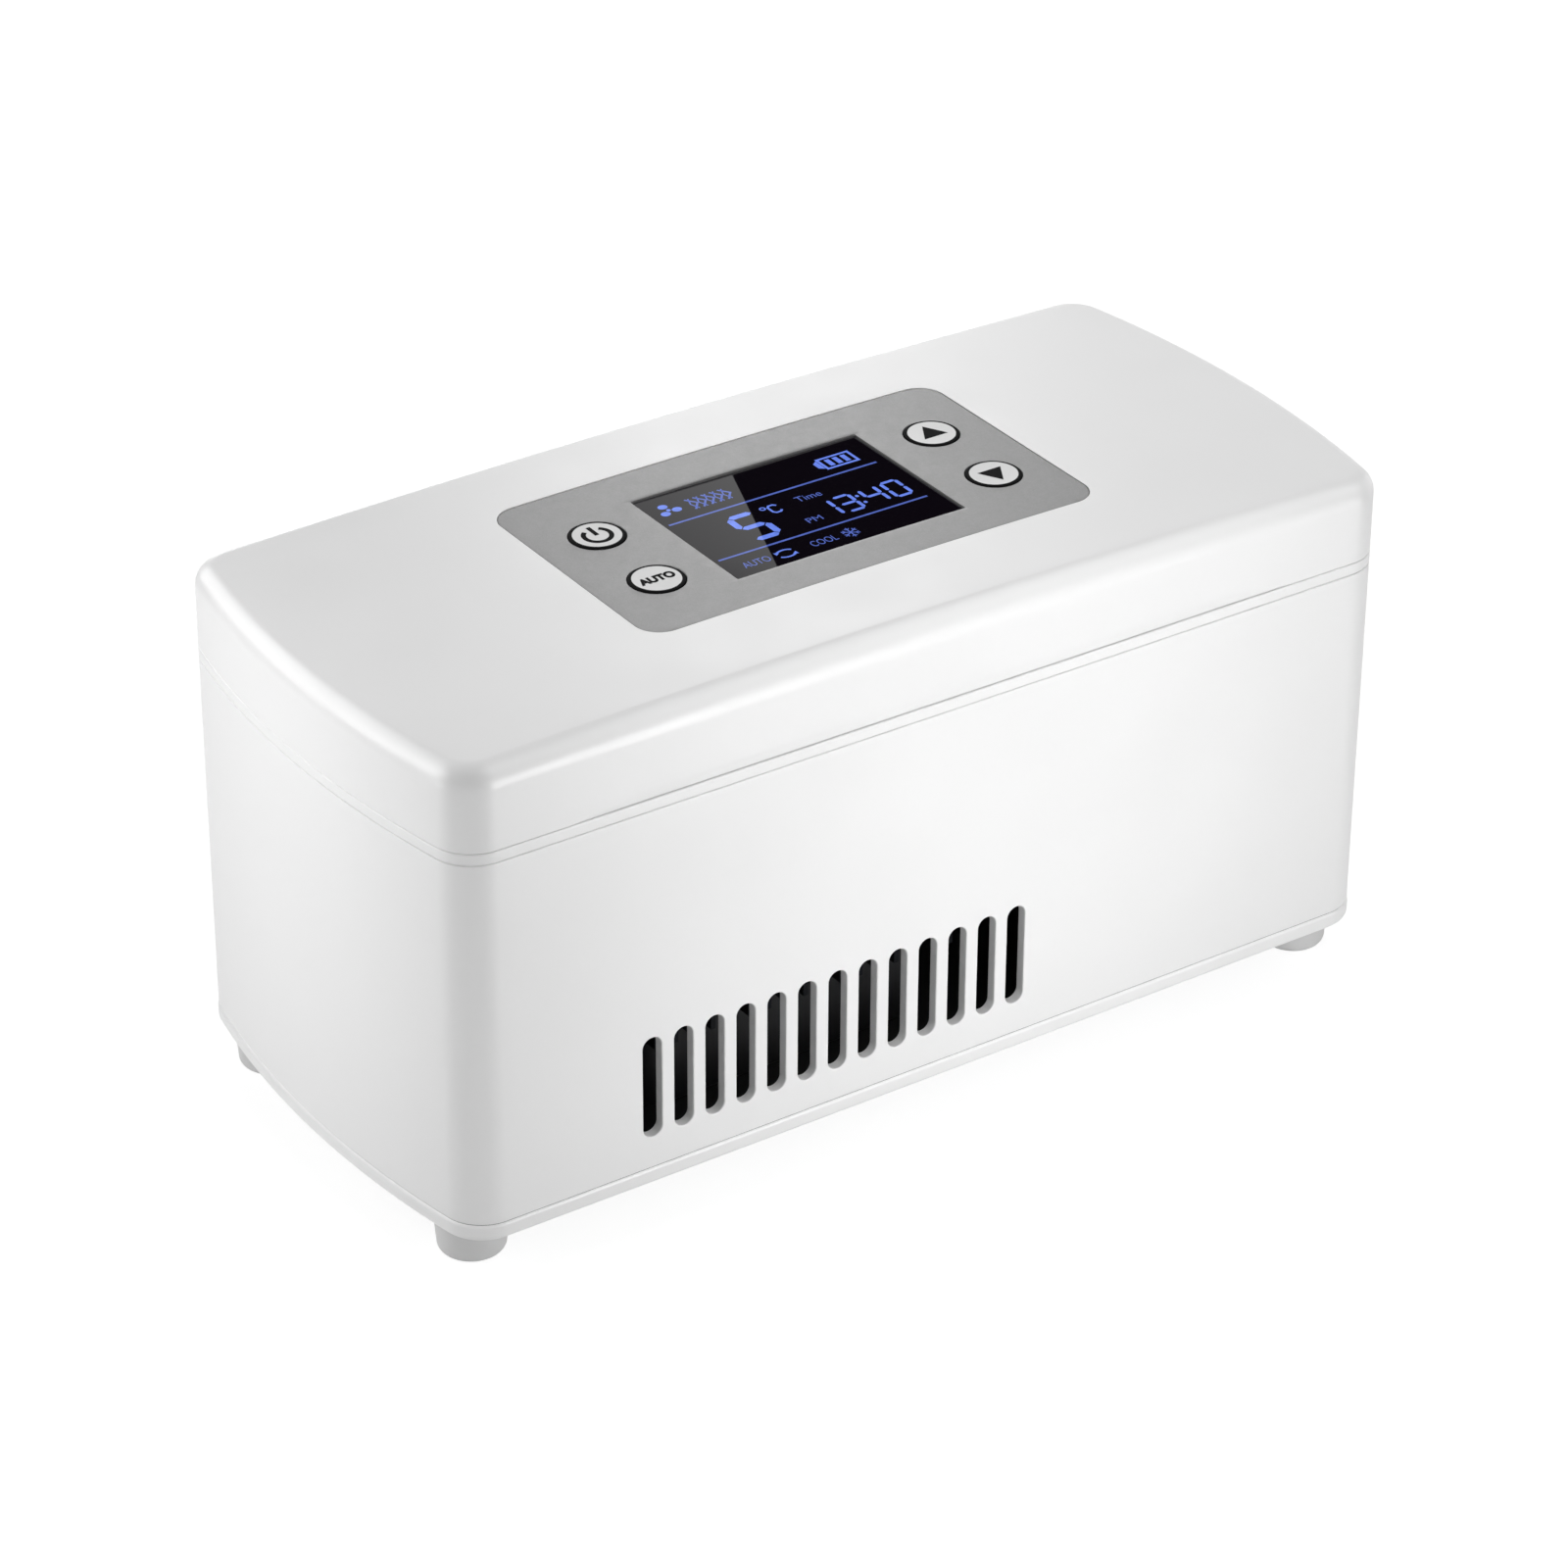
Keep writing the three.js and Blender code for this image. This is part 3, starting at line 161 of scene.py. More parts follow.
class Nodes:
    """The node tree of a material or a world, with short ways to add its nodes."""

    def __init__(self, owner):
        owner.use_nodes = True
        self.tree = owner.node_tree

    def feed(self, node, *first, **values):
        """Links or sets inputs, in order or by name, with _ for a space; other names are settings."""
        inputs = list(zip(node.inputs, first))
        for key, value in values.items():
            name = key.replace("_", " ")
            if name in node.inputs:
                inputs.append((node.inputs[name], value))
            else:
                setattr(node, key, value)
        for socket, value in inputs:
            if isinstance(value, bpy.types.NodeSocket):
                self.tree.links.new(value, socket)
            else:
                socket.default_value = value

    def add(self, kind, *first, **values):
        """Adds a shader node of a kind and feeds it."""
        node = self.tree.nodes.new(f"ShaderNode{kind}")
        self.feed(node, *first, **values)
        return node

    @cached_property
    def place(self):
        return self.add("TexCoord").outputs["Object"]

    def stretched(self, scale):
        return self.add("Mapping", Scale=scale, Vector=self.place).outputs["Vector"]

    def noise(self, scale, detail=2, vector=None):
        return self.add("TexNoise", Scale=scale, Detail=detail, Vector=vector or self.place).outputs["Fac"]

    def ramp(self, factor, low, high, start=0.3, end=0.7):
        node = self.add("ValToRGB", factor)
        first, last = node.color_ramp.elements
        first.position, first.color = start, low
        last.position, last.color = end, high
        return node.outputs["Color"]

    def spread(self, factor, low, high, start=0.3, end=0.7, **settings):
        return self.add("MapRange", factor, start, end, low, high, **settings).outputs["Result"]

    def bump(self, height, strength, depth_mm, **under):
        return self.add("Bump", Height=height, Strength=strength, Distance=depth_mm / METRE,
                        **under).outputs["Normal"]

    def finish(self, colour, roughness, **inputs):
        self.feed(self.tree.nodes["Principled BSDF"], Base_Color=colour, Roughness=roughness, **inputs)

    def seen_mix(self, plain, seen):
        """One shader for camera, glossy and transmission rays, and a plain one for the others."""
        rays = self.add("LightPath").outputs
        any_ray = rays["Is Camera Ray"]
        for name in ("Is Glossy Ray", "Is Transmission Ray"):
            any_ray = self.add("Math", any_ray, rays[name], operation="MAXIMUM").outputs[0]
        return self.add("MixShader", any_ray, plain, seen).outputs[0]


def moulded(n, colour, rough_low, rough_high, mottle=0.008, grain=0.004):
    """Moulded plastic: slow drift of tone and gloss, with a fine tool texture."""
    slow = n.bump(n.noise(30, 1), 0.1, 0.04)
    n.finish(n.ramp(n.noise(28), shade(colour, 1 - mottle), shade(colour, 1 + mottle / 2)),
             n.spread(n.noise(60), rough_low, rough_high),
             Normal=n.bump(n.noise(900, 1), 0.3, grain, Normal=slow))


def metal(n, colour, rough_low, rough_high, lines=(40, 2200, 2200)):
    """Rolled or machined metal: long fine lines in tone, gloss and height."""
    brushed = n.noise(1, 3, n.stretched(lines))
    n.finish(n.ramp(brushed, shade(colour, 0.93), shade(colour, 1.04)),
             n.spread(brushed, rough_low, rough_high), Normal=n.bump(brushed, 0.4, 0.01), Metallic=1)


def foam(n, colour):
    cells = n.add("TexVoronoi", Scale=420, Vector=n.place, feature="F1").outputs["Distance"]
    n.finish(n.ramp(cells, shade(colour, 0.9), colour, 0.1, 0.6),
             n.spread(n.noise(300), 0.88, 0.97), Normal=n.bump(cells, 0.6, 0.4))


def circuit_board(n, colour, track):
    tracks = n.add("TexBrick", Vector=n.place, Scale=260, Mortar_Size=0.04,
                   Color1=colour, Color2=shade(colour, 0.85), Mortar=track).outputs
    n.finish(tracks["Color"], n.spread(n.noise(400), 0.32, 0.48),
             Normal=n.bump(tracks["Fac"], 0.5, 0.03))


def wound_copper(n, colour):
    turns = n.add("TexWave", Scale=520, Distortion=0.6, Vector=n.place,
                  bands_direction="Z").outputs["Fac"]
    n.finish(n.ramp(turns, shade(colour, 0.55), colour, 0.1, 0.6),
             n.spread(turns, 0.5, 0.3), Normal=n.bump(turns, 0.8, 0.2), Metallic=1)


def panel_paint(n, colour):
    """Metallic paint on a thin sheet: flakes at a fine scale over a soft drift of tone."""
    flakes = n.add("TexVoronoi", Scale=5200, Vector=n.place, feature="F1").outputs
    tone = n.add("MixRGB", 1, n.ramp(flakes["Color"], shade(colour, 0.95), shade(colour, 1.05), 0.2, 0.8),
                 n.ramp(n.noise(22), (0.97, 0.97, 0.97, 1), (1, 1, 1, 1)), blend_type="MULTIPLY")
    n.finish(tone.outputs["Color"], n.spread(n.noise(600, 3), 0.34, 0.42),
             Normal=n.bump(flakes["Distance"], 0.25, 0.01), Metallic=0.35)


def dark_glass(n, colour):
    """The display's front: near-black glass with the faint cell lines of a display under it."""
    lines = n.noise(1, 2, n.stretched((900, 3200, 900)))
    n.finish(n.ramp(lines, shade(colour, 0.85), shade(colour, 1.15)),
             n.spread(n.noise(35), 0, 0.012), IOR=1.5)


def lit(n, colour):
    """A lit segment under the glass: it glows a little unevenly and shares the glass's gloss."""
    patches = n.noise(900)
    n.finish(n.ramp(patches, shade(colour, 0.05), shade(colour, 0.1)), n.spread(patches, 0, 0.02),
             Emission_Color=n.ramp(patches, shade(colour, 0.86), shade(colour, 1.06)),
             Emission_Strength=1, IOR=1.5)


def inked(n, colour):
    grain = n.noise(3200)
    n.finish(n.ramp(grain, shade(colour, 0.8), shade(colour, 1.2)), n.spread(grain, 0.55, 0.7),
             Normal=n.bump(grain, 0.2, 0.005), Specular_IOR_Level=0.03)


materials = {}


def surface(name, make, colour, *values, **options):
    materials[name] = bpy.data.materials.new(name)
    make(Nodes(materials[name]), srgb(*colour), *values, **options)


surface("white_plastic", moulded, (240, 240, 240), 0.3, 0.38)
surface("liner_plastic", moulded, (226, 228, 230), 0.42, 0.52, grain=0.03)
# Near-black painted shade for the case's inner faces, so that the slots look dark inside
surface("painted_shade_inside", moulded, (14, 14, 15), 0.6, 0.75, grain=0.04)
surface("foot_rubber", moulded, (218, 218, 218), 0.62, 0.75, grain=0.06)
surface("black_plastic", moulded, (26, 26, 28), 0.42, 0.55, grain=0.04)
surface("button_plastic", moulded, (222, 222, 222), 0.4, 0.5, grain=0.02)
surface("seal_rubber", moulded, (140, 142, 144), 0.68, 0.8, grain=0.06)
surface("module_ceramic", moulded, (238, 235, 228), 0.5, 0.62, grain=0.05)
surface("battery_wrap", moulded, (52, 104, 160), 0.29, 0.36, mottle=0.08)
surface("steel", metal, (190, 193, 196), 0.29, 0.4, (900, 900, 60))
surface("chamber_aluminium", metal, (206, 209, 212), 0.3, 0.42)
surface("black_aluminium", metal, (44, 45, 48), 0.4, 0.55)
surface("foam", foam, (232, 231, 226))
surface("circuit_board", circuit_board, (24, 92, 54), srgb(60, 132, 84))
surface("copper", wound_copper, (196, 118, 70))
surface("panel_grey", panel_paint, (124, 124, 124))
surface("display_glass", dark_glass, (17, 13, 20))
surface("display_lit", lit, (108, 136, 236))
surface("display_dim", lit, (84, 104, 186))
surface("ink", inked, (9, 9, 10))


# Outlines and rings

def turned(radius, angle, x=0, y=0):
    """The place at a distance and an angle from a middle."""
    return (x + radius * cos(angle), y + radius * sin(angle))


def quarter_angles(steps, first=0):
    return [pi / 2 * step / steps for step in range(first, steps + 1)]


def outline_arcs():
    """The end, corner and side arcs of a quarter of the case: middle, radius, angles and steps."""
    end_reach, side_reach = HALF_WIDTH - SIDE_BOW, HALF_LENGTH - END_BOW
    end_radius = (end_reach ** 2 + END_BOW ** 2) / (2 * END_BOW)
    side_radius = (side_reach ** 2 + SIDE_BOW ** 2) / (2 * SIDE_BOW)
    end_centre, side_centre = Vector((HALF_LENGTH - end_radius, 0)), Vector((0, HALF_WIDTH - side_radius))
    apart = side_centre - end_centre
    distance = apart.length
    along = apart / distance
    to_end, to_side = end_radius - CORNER_RADIUS, side_radius - CORNER_RADIUS
    reach = (to_end ** 2 - to_side ** 2 + distance ** 2) / (2 * distance)
    offset = sqrt(to_end ** 2 - reach ** 2)
    corner = end_centre + along * reach + Vector((-along.y, along.x)) * offset
    end_angle = atan2(corner.y - end_centre.y, corner.x - end_centre.x)
    side_angle = atan2(corner.y - side_centre.y, corner.x - side_centre.x)
    return [
        (end_centre, end_radius, 0, end_angle, END_STEPS),
        (corner, CORNER_RADIUS, end_angle, side_angle, CORNER_STEPS),
        (side_centre, side_radius, side_angle, pi / 2, SIDE_STEPS),
    ]


ARCS = outline_arcs()


def mirrored(quarter):
    """A closed loop from its first quarter, which runs from the X axis to the Y axis."""
    half = quarter + [(-x, y) for x, y in reversed(quarter[:-1])]
    return half + [(x, -y) for x, y in reversed(half[1:-1])]


def case_loop(inset):
    quarter = []
    for index, (centre, radius, start, end, steps) in enumerate(ARCS):
        quarter += [turned(radius - inset, start + (end - start) * step / steps, centre.x, centre.y)
                    for step in range(min(index, 1), steps + 1)]
    return mirrored(quarter)


def rectangle_loop(length, width, radius, x=0, y=0):
    """A rounded rectangle with as many points as the case's loop."""
    a, b = length / 2 - radius, width / 2 - radius
    quarter = [(length / 2, b * step / END_STEPS) for step in range(END_STEPS + 1)]
    quarter += [turned(radius, angle, a, b) for angle in quarter_angles(CORNER_STEPS, 1)]
    quarter += [(a * (1 - step / SIDE_STEPS), width / 2) for step in range(1, SIDE_STEPS + 1)]
    return [(px + x, py + y) for px, py in mirrored(quarter)]


def circle_loop(radius, x=0, y=0, count=ROUND):
    return [turned(radius, 2 * pi * i / count, x, y) for i in range(count)]


def slot_loop(half_width, low, high, grow=0, count=24):
    """A slot seen from the front, as (across, up) points."""
    ends = ((0, high - half_width), (pi, low + half_width))
    return [turned(half_width + grow, start + pi * i / count, 0, up)
            for start, up in ends for i in range(count + 1)]


def lid_rise(x):
    """How far the crowned lid stands over the height that it has at its ends."""
    return LID_CROWN * (1 - (x / HALF_LENGTH) ** 2)


def lid_top(x):
    return LID_END_TOP + lid_rise(x)


def under_top(drop):
    """A height that follows the crowned lid, some distance under it."""
    return lambda x: lid_top(x) - drop


def ring(loop, height):
    """A loop or a ring set at a height, which may depend on x."""
    rise = height if callable(height) else lambda x: height
    return [(point[0], point[1], rise(point[0])) for point in loop]


def case_rings(profile):
    """Rings round the case from (inset, height) points."""
    return [ring(case_loop(inset), z) for inset, z in profile]


def round_rings(profile, x=0, y=0, count=ROUND):
    """Rings round an upright axis from (radius, height) points."""
    return [ring(circle_loop(radius, x, y, count), z) for radius, z in profile]


def box_rings(box, profile):
    """Rings round a box from (growth, height) points."""
    length, width, radius, x, y = box
    return [ring(rectangle_loop(length + 2 * grow, width + 2 * grow, radius + grow, x, y), z)
            for grow, z in profile]


def creased(box, sign, grow=0, drop=0):
    """Rings from the crowned top, over a small rounding, down to the pocket's floor."""
    profile = [(grow + sign * back, under_top(drop + down)) for back, down in CREASE]
    return box_rings(box, profile + [(grow, POCKET_FLOOR)])


def between(first, last, share):
    return tuple(a + (b - a) * share for a, b in zip(first, last))


def blend_rings(first, last, steps, height):
    """Rings that lead from the first ring, left out, to the last, all at one height."""
    return [ring([between(p, q, step / steps) for p, q in zip(first, last)], height)
            for step in range(1, steps + 1)]


def quarter_round(inset, height, radius, steps=6, up=True):
    """Profile points of a rounded edge: from the side face to the flat face, outside in."""
    sign = 1 if up else -1
    return [(inset + radius * (1 - cos(angle)), height - sign * radius * (1 - sin(angle)))
            for angle in quarter_angles(steps)]


# Solids, as (points, faces)

def skin(rings, closed=False):
    """A surface through rings; open ends are capped flat."""
    count = len(rings[0])
    points = [point for one in rings for point in one]
    faces = []
    for level in range(len(rings) if closed else len(rings) - 1):
        low, high = level * count, (level + 1) % len(rings) * count
        for i in range(count):
            j = (i + 1) % count
            faces.append((low + i, low + j, high + j, high + i))
    if not closed:
        faces += [tuple(range(count))[::-1], tuple(range(len(points) - count, len(points)))]
    return points, faces


def merged(*parts):
    points, faces = [], []
    for part_points, part_faces in parts:
        start = len(points)
        points += part_points
        faces += [tuple(start + v for v in face) for face in part_faces]
    return points, faces


def moved(part, x=0, y=0, z=0):
    return [(px + x, py + y, pz + z) for px, py, pz in part[0]], part[1]


def spun(part, angle):
    """A part turned about the upright axis."""
    along, across = cos(angle), sin(angle)
    return [(x * along - y * across, x * across + y * along, z) for x, y, z in part[0]], part[1]


def along_y(part, x, z):
    """A part made about Z, laid down so that its top faces +Y."""
    return [(px + x, pz, z - py) for px, py, pz in part[0]], part[1]


def along_x(part, y, z):
    """A part made about Z, laid down so that its top faces +X."""
    return [(pz, px + y, py + z) for px, py, pz in part[0]], part[1]


def tube(profile, count=ROUND):
    """A closed profile turned about Z, as a ring."""
    return skin(round_rings(profile, count=count), closed=True)


def prism(loop, low, high):
    return skin([ring(loop, low), ring(loop, high)])


def drills(places, radius, low, high, count=24):
    """Round upright tools, one at each named place."""
    return [prism(circle_loop(radius, x, y, count), low, high) for _, x, y in places]


def bar(x, y, half_x, half_y, low, high, edge=0):
    """A bar with its upright and level edges eased."""
    soft = max(edge, 0.001)

    def level(inset, z):
        back = soft + inset
        loop = []
        for index, (sx, sy) in enumerate(SQUARE):
            loop += [turned(soft, pi / 2 * (index + step / 3),
                            x + sx * (half_x - back), y + sy * (half_y - back))
                     for step in range(4)]
        return ring(loop, z)

    if not edge:
        return skin([level(0, low), level(0, high)])
    eased = [(edge, 0), (edge * 0.3, edge * 0.3), (0, edge)]
    return skin([level(inset, low + rise) for inset, rise in eased]
                + [level(inset, high - rise) for inset, rise in reversed(eased)])


def window_bar(grow, low, high, edge=0):
    """A bar in or under the display's opening, larger than it all round."""
    length, width, _, x, y = WINDOW
    return bar(x, y, length / 2 + grow, width / 2 + grow, low, high, edge)


def flared_slot(x, side):
    """A tool that cuts one slot through a bowed side wall, with its outer edge rounded."""
    centre, radius = ARCS[2][:2]
    face = centre.y + sqrt(radius ** 2 - x ** 2)
    levels = [(0, WALL + OVERRUN)] + quarter_round(0, 0, SOFT_EDGE, 5, up=False)
    levels.append((SOFT_EDGE, -OVERRUN))
    return skin([[(x + across, side * (face - depth), up)
                  for across, up in slot_loop(SLOT_WIDTH / 2, SLOT_BOTTOM, SLOT_TOP, grow)]
                 for grow, depth in levels])


def flared_hole(x, y, radius, low, high):
    """A tool that cuts a round upright hole whose upper edge, at high, is rounded."""
    profile = [(radius, low)] + quarter_round(radius, high, HOLE_EDGE, 4)
    return skin(round_rings(profile + [(radius + HOLE_EDGE, high + OVERRUN)], x, y))


def hinge_rods(centres, radius, reach):
    return merged(*[along_x(prism(circle_loop(radius, count=32), x - reach, x + reach), HINGE_Y, HINGE_Z)
                    for x in centres])


# Objects

def placed(name, data):
    item = bpy.data.objects.new(name, data)
    bpy.context.scene.collection.objects.link(item)
    return item


def object_of(name, part):
    points, faces = part
    mesh = bpy.data.meshes.new(name)
    mesh.from_pydata([tuple(c / METRE for c in point) for point in points], [], faces)
    work = bmesh.new()
    work.from_mesh(mesh)
    bmesh.ops.remove_doubles(work, verts=work.verts, dist=2e-7)
    bmesh.ops.recalc_face_normals(work, faces=work.faces)
    work.to_mesh(mesh)
    work.free()
    return placed(name, mesh)


def evaluated_mesh(item):
    bpy.context.view_layer.update()
    return bpy.data.meshes.new_from_object(item.evaluated_get(bpy.context.evaluated_depsgraph_get()))


def settled(item):
    """Writes an object's modifiers into its mesh."""
    old, mesh = item.data, evaluated_mesh(item)
    item.modifiers.clear()
    item.data = mesh
    bpy.data.meshes.remove(old)


def combine(item, part, operation):
    """Joins a part to an object's mesh, or cuts it away."""
    tool = object_of("tool", part)
    step = item.modifiers.new(operation, "BOOLEAN")
    step.operation, step.solver, step.object = operation, "EXACT", tool
    settled(item)
    bpy.data.objects.remove(tool)


def cut(item, *parts):
    combine(item, merged(*parts), "DIFFERENCE")


def two_looks(item, looks, chosen):
    """Gives an object two finishes; the faces that are chosen get the second."""
    for name in looks:
        item.data.materials.append(materials[name])
    for polygon in item.data.polygons:
        polygon.material_index = int(chosen(polygon.center * METRE, polygon.normal))


def finished(item, body, slot, *nodes, sharp=SHARP, weighted=True, look=None):
    """Shades a piece, gives it its material and sets it on its body in place of its nodes."""
    mesh = item.data
    mesh.polygons.foreach_set("use_smooth", [True] * len(mesh.polygons))
    mesh.set_sharp_from_angle(angle=sharp)
    if weighted:
        weight = item.modifiers.new("weight", "WEIGHTED_NORMAL")
        weight.keep_sharp, weight.weight = True, 80
        settled(item)
    if not item.data.materials:
        item.data.materials.append(materials[look or slot])
    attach(item, body)
    if nodes:
        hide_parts(*nodes)


def piece(name, body, slot, part, *nodes, **shading):
    finished(object_of(name, part), body, slot, *nodes, **shading)


# Case

def inward(centre, normal):
    return normal.x * centre.x + normal.y * centre.y < 0


def posts(name, body, places, radius, low, high):
    """Hollow posts that screws go into."""
    post = tube([(SCREW_HOLE, low), (radius, low), (radius, high), (SCREW_HOLE, high)], 32)
    piece(name, body, "white_plastic", merged(*[moved(post, x, y) for _, x, y in places]))


def body_shell():
    low, high = BASE_TOP + SEAM_HEIGHT, BODY_TOP - SEAM_HEIGHT
    profile = [(WALL, BASE_TOP), (BASE_SEAM + EASE, BASE_TOP), (BASE_SEAM, BASE_TOP + EASE),
               (BASE_SEAM, low)]
    profile += quarter_round(0, low, BASE_SEAM - 0.03, up=False)[::-1] + quarter_round(0, high, SOFT_EDGE)
    profile += [(RIM_SEAM, high), (RIM_SEAM, BODY_TOP - EASE), (RIM_SEAM + EASE, BODY_TOP),
                (WALL, BODY_TOP)]
    shell = object_of("body_shell_skin", skin(case_rings(profile), closed=True))
    # The inner faces get painted shade, near-black, which shows through the slots
    two_looks(shell, ("white_plastic", "painted_shade_inside"), inward)
    first_slot = SLOT_ROW_X - (SLOT_COUNT - 1) * SLOT_PITCH / 2
    slots = [flared_slot(first_slot + i * SLOT_PITCH, side) for i in range(SLOT_COUNT) for side in (-1, 1)]
    socket = prism(circle_loop(SOCKET_RADIUS + SEAT_GAP), HALF_WIDTH - WALL - OVERRUN, HALF_WIDTH + OVERRUN)
    cut(shell, *slots, along_y(socket, SOCKET_X, SOCKET_Z))
    finished(shell, "case", "white_plastic", "body_shell")
    posts("body_posts", "case", FEET, BODY_POST, BASE_TOP, POST_TOP)


def base_cover():
    profile = quarter_round(-BASE_PROUD, SKIRT_BOTTOM, BASE_LOWER_EDGE, 8, up=False) + [
        (SKIRT_INSET - 0.3, SKIRT_BOTTOM), (SKIRT_INSET, SKIRT_BOTTOM + 0.3), (SKIRT_INSET, BASE_BOTTOM)]
    profile = profile[::-1] + quarter_round(-BASE_PROUD, BASE_TOP, BASE_UPPER_EDGE)
    profile += [(LIP_INSET, BASE_TOP), (LIP_INSET, LIP_TOP), (LIP_INNER, LIP_TOP), (LIP_INNER, FLOOR_TOP)]
    cover = object_of("base_cover_skin", skin(case_rings(profile)))
    # The floor's top and the inner faces get painted shade, near-black, which shows through the slots
    two_looks(cover, ("white_plastic", "painted_shade_inside"), lambda centre, normal: (
        centre.z > FLOOR_TOP - 0.1 and centre.z != BASE_TOP and (normal.z > 0.9 or inward(centre, normal))))
    tools = []
    count = int(INTAKE_RADIUS // INTAKE_PITCH)
    for i in range(-count, count + 1):
        reach = sqrt(INTAKE_RADIUS ** 2 - (i * INTAKE_PITCH) ** 2)
        slot, flare = [slot_loop(INTAKE_SLOT / 2, -reach, reach, grow, 12) for grow in (0, INTAKE_FLARE)]
        rings = [ring(flare, BASE_BOTTOM - OVERRUN), ring(flare, BASE_BOTTOM),
                 ring(slot, BASE_BOTTOM + INTAKE_FLARE), ring(slot, FLOOR_TOP + OVERRUN)]
        tools.append(moved(skin(rings), SLOT_ROW_X + i * INTAKE_PITCH))
    tools += drills(FEET + FAN_SCREWS, SCREW_HOLE, BASE_BOTTOM - OVERRUN, FLOOR_TOP + OVERRUN)
    # The lip makes room for the posts at the corners
    room_x, room_y = HALF_LENGTH - FOOT_X + POST_ROOM, HALF_WIDTH - FOOT_Y + POST_ROOM
    tools += [bar(x, y, room_x, room_y, BASE_TOP, LIP_TOP + OVERRUN)
              for _, x, y in corners(HALF_LENGTH, HALF_WIDTH)]
    cut(cover, *tools)
    finished(cover, "case", "white_plastic", "base_cover")


def add_knuckles(item, own, own_width, others, others_width):
    """Clears room for the other side's knuckles, adds an object's own and bores all for the pins."""
    cut(item, hinge_rods(others, HINGE_RADIUS + SEAT_GAP, others_width / 2 + SEAT_GAP))
    combine(item, hinge_rods(own, HINGE_RADIUS, own_width / 2), "UNION")
    cut(item, hinge_rods(HINGES, PIN_HOLE, RIM_KNUCKLE / 2 + LID_KNUCKLE + 1.5 * SEAT_GAP))


def rim_frame():
    profile = quarter_round(0, BODY_TOP, 0.12, 3, up=False)[::-1] + quarter_round(0, LEDGE_TOP, 0.3)
    profile += [(LEDGE_INSET, LEDGE_TOP), (LEDGE_INSET, RIM_TOP - 0.1), (LEDGE_INSET + 0.1, RIM_TOP)]
    outer = case_rings(profile)
    lip = box_rings(CHAMBER, [(MOUTH_EDGE, RIM_TOP), (0.25, RIM_TOP - 0.07), (0.07, RIM_TOP - 0.25),
                              (0, RIM_TOP - MOUTH_EDGE), (0, BODY_TOP)])
    deck = blend_rings(outer[-1], lip[0], 4, RIM_TOP)
    low = BODY_TOP - RIM_LIP
    under = case_rings([(LIP_INNER, BODY_TOP), (LIP_INNER, low), (LIP_INSET, low), (LIP_INSET, BODY_TOP)])
    rim = object_of("rim_frame_skin", skin(outer + deck + lip[1:] + under, closed=True))
    add_knuckles(rim, HINGES, RIM_KNUCKLE, LID_KNUCKLES, LID_KNUCKLE)
    cut(rim, *drills(MAGNETS, MAGNET_HOLE, BODY_TOP - OVERRUN, BODY_TOP + MAGNET_HEIGHT, 48))
    finished(rim, "case", "white_plastic", "rim_frame")


def feet():
    recess = [(FOOT_BORE, 0.25), (FOOT_BORE + 0.15, 0.06), (FOOT_BORE + 0.4, 0)]
    tread = [(FOOT_TREAD - inset, z) for inset, z in quarter_round(0, 0, FOOT_EDGE, 8, up=False)[::-1]]
    bore = [(SCREW_HOLE, BASE_BOTTOM), (SCREW_HOLE, FOOT_RECESS), (FOOT_BORE, FOOT_RECESS)]
    pad = tube(recess + tread + FOOT_SIDE + bore)
    for name, x, y in FEET:
        piece(f"foot_{name}_pad", "case", "foot_rubber", moved(pad, x, y), f"foot_{name}")


def screw_part(length):
    """A pan-head screw whose head hangs below the bearing face, with a thread."""
    profile = [(AXIS, -HEAD_HEIGHT)]
    profile += [(HEAD_FLAT + (SCREW_HEAD - HEAD_FLAT) * sin(angle),
                 HEAD_EDGE * (1 - cos(angle)) - HEAD_HEIGHT) for angle in quarter_angles(8)]
    profile += [(SCREW_HEAD, 0), (SCREW_SHANK, 0)]
    for i in range(int(length / THREAD_PITCH)):
        z = (i + 0.5) * THREAD_PITCH
        profile += [(SCREW_SHANK - THREAD_DEPTH, z), (SCREW_SHANK, z + THREAD_PITCH / 2)]
    profile += [(SCREW_SHANK - 0.25, length), (AXIS, length)]
    return skin(round_rings(profile, count=32))


def screws(kind, body, places, z, length):
    """Screws that point up, each with a cross recess in its head."""
    for name, x, y in places:
        item = object_of(f"{kind}_screw_{name}_fine", moved(screw_part(length), x, y, z))
        for half_x, half_y in ((CROSS_REACH, CROSS_HALF), (CROSS_HALF, CROSS_REACH)):
            wide = [(sx * half_x, sy * half_y) for sx, sy in SQUARE]
            deep = [(px * CROSS_TAPER, py * CROSS_TAPER) for px, py in wide]
            tool = skin([ring(wide, -0.5), ring(wide, 0), ring(deep, CROSS_DEPTH)])
            cut(item, moved(tool, x, y, z - HEAD_HEIGHT))
        finished(item, body, "steel", f"{kind}_screw_{name}")


def chamber():
    wall, outer = CHAMBER_WALL, CHAMBER_WALL + FLANGE_WIDTH
    top, under = FLANGE_TOP, FLANGE_TOP - FLANGE_HEIGHT
    profile = [(-back, CHAMBER_FLOOR + rise) for rise, back in quarter_round(0, 0, CHAMBER_COVE, up=False)]
    profile += [(0, top - 0.4), (0.12, top - 0.12), (0.4, top), (outer - 0.3, top), (outer, top - 0.3),
                (outer, under), (wall, under), (wall, CHAMBER_BOTTOM + 0.5), (wall - 0.5, CHAMBER_BOTTOM)]
    tub = skin(box_rings(CHAMBER, profile))
    piece("cold_chamber_tub", "case", "chamber_aluminium", tub, "cold_chamber")


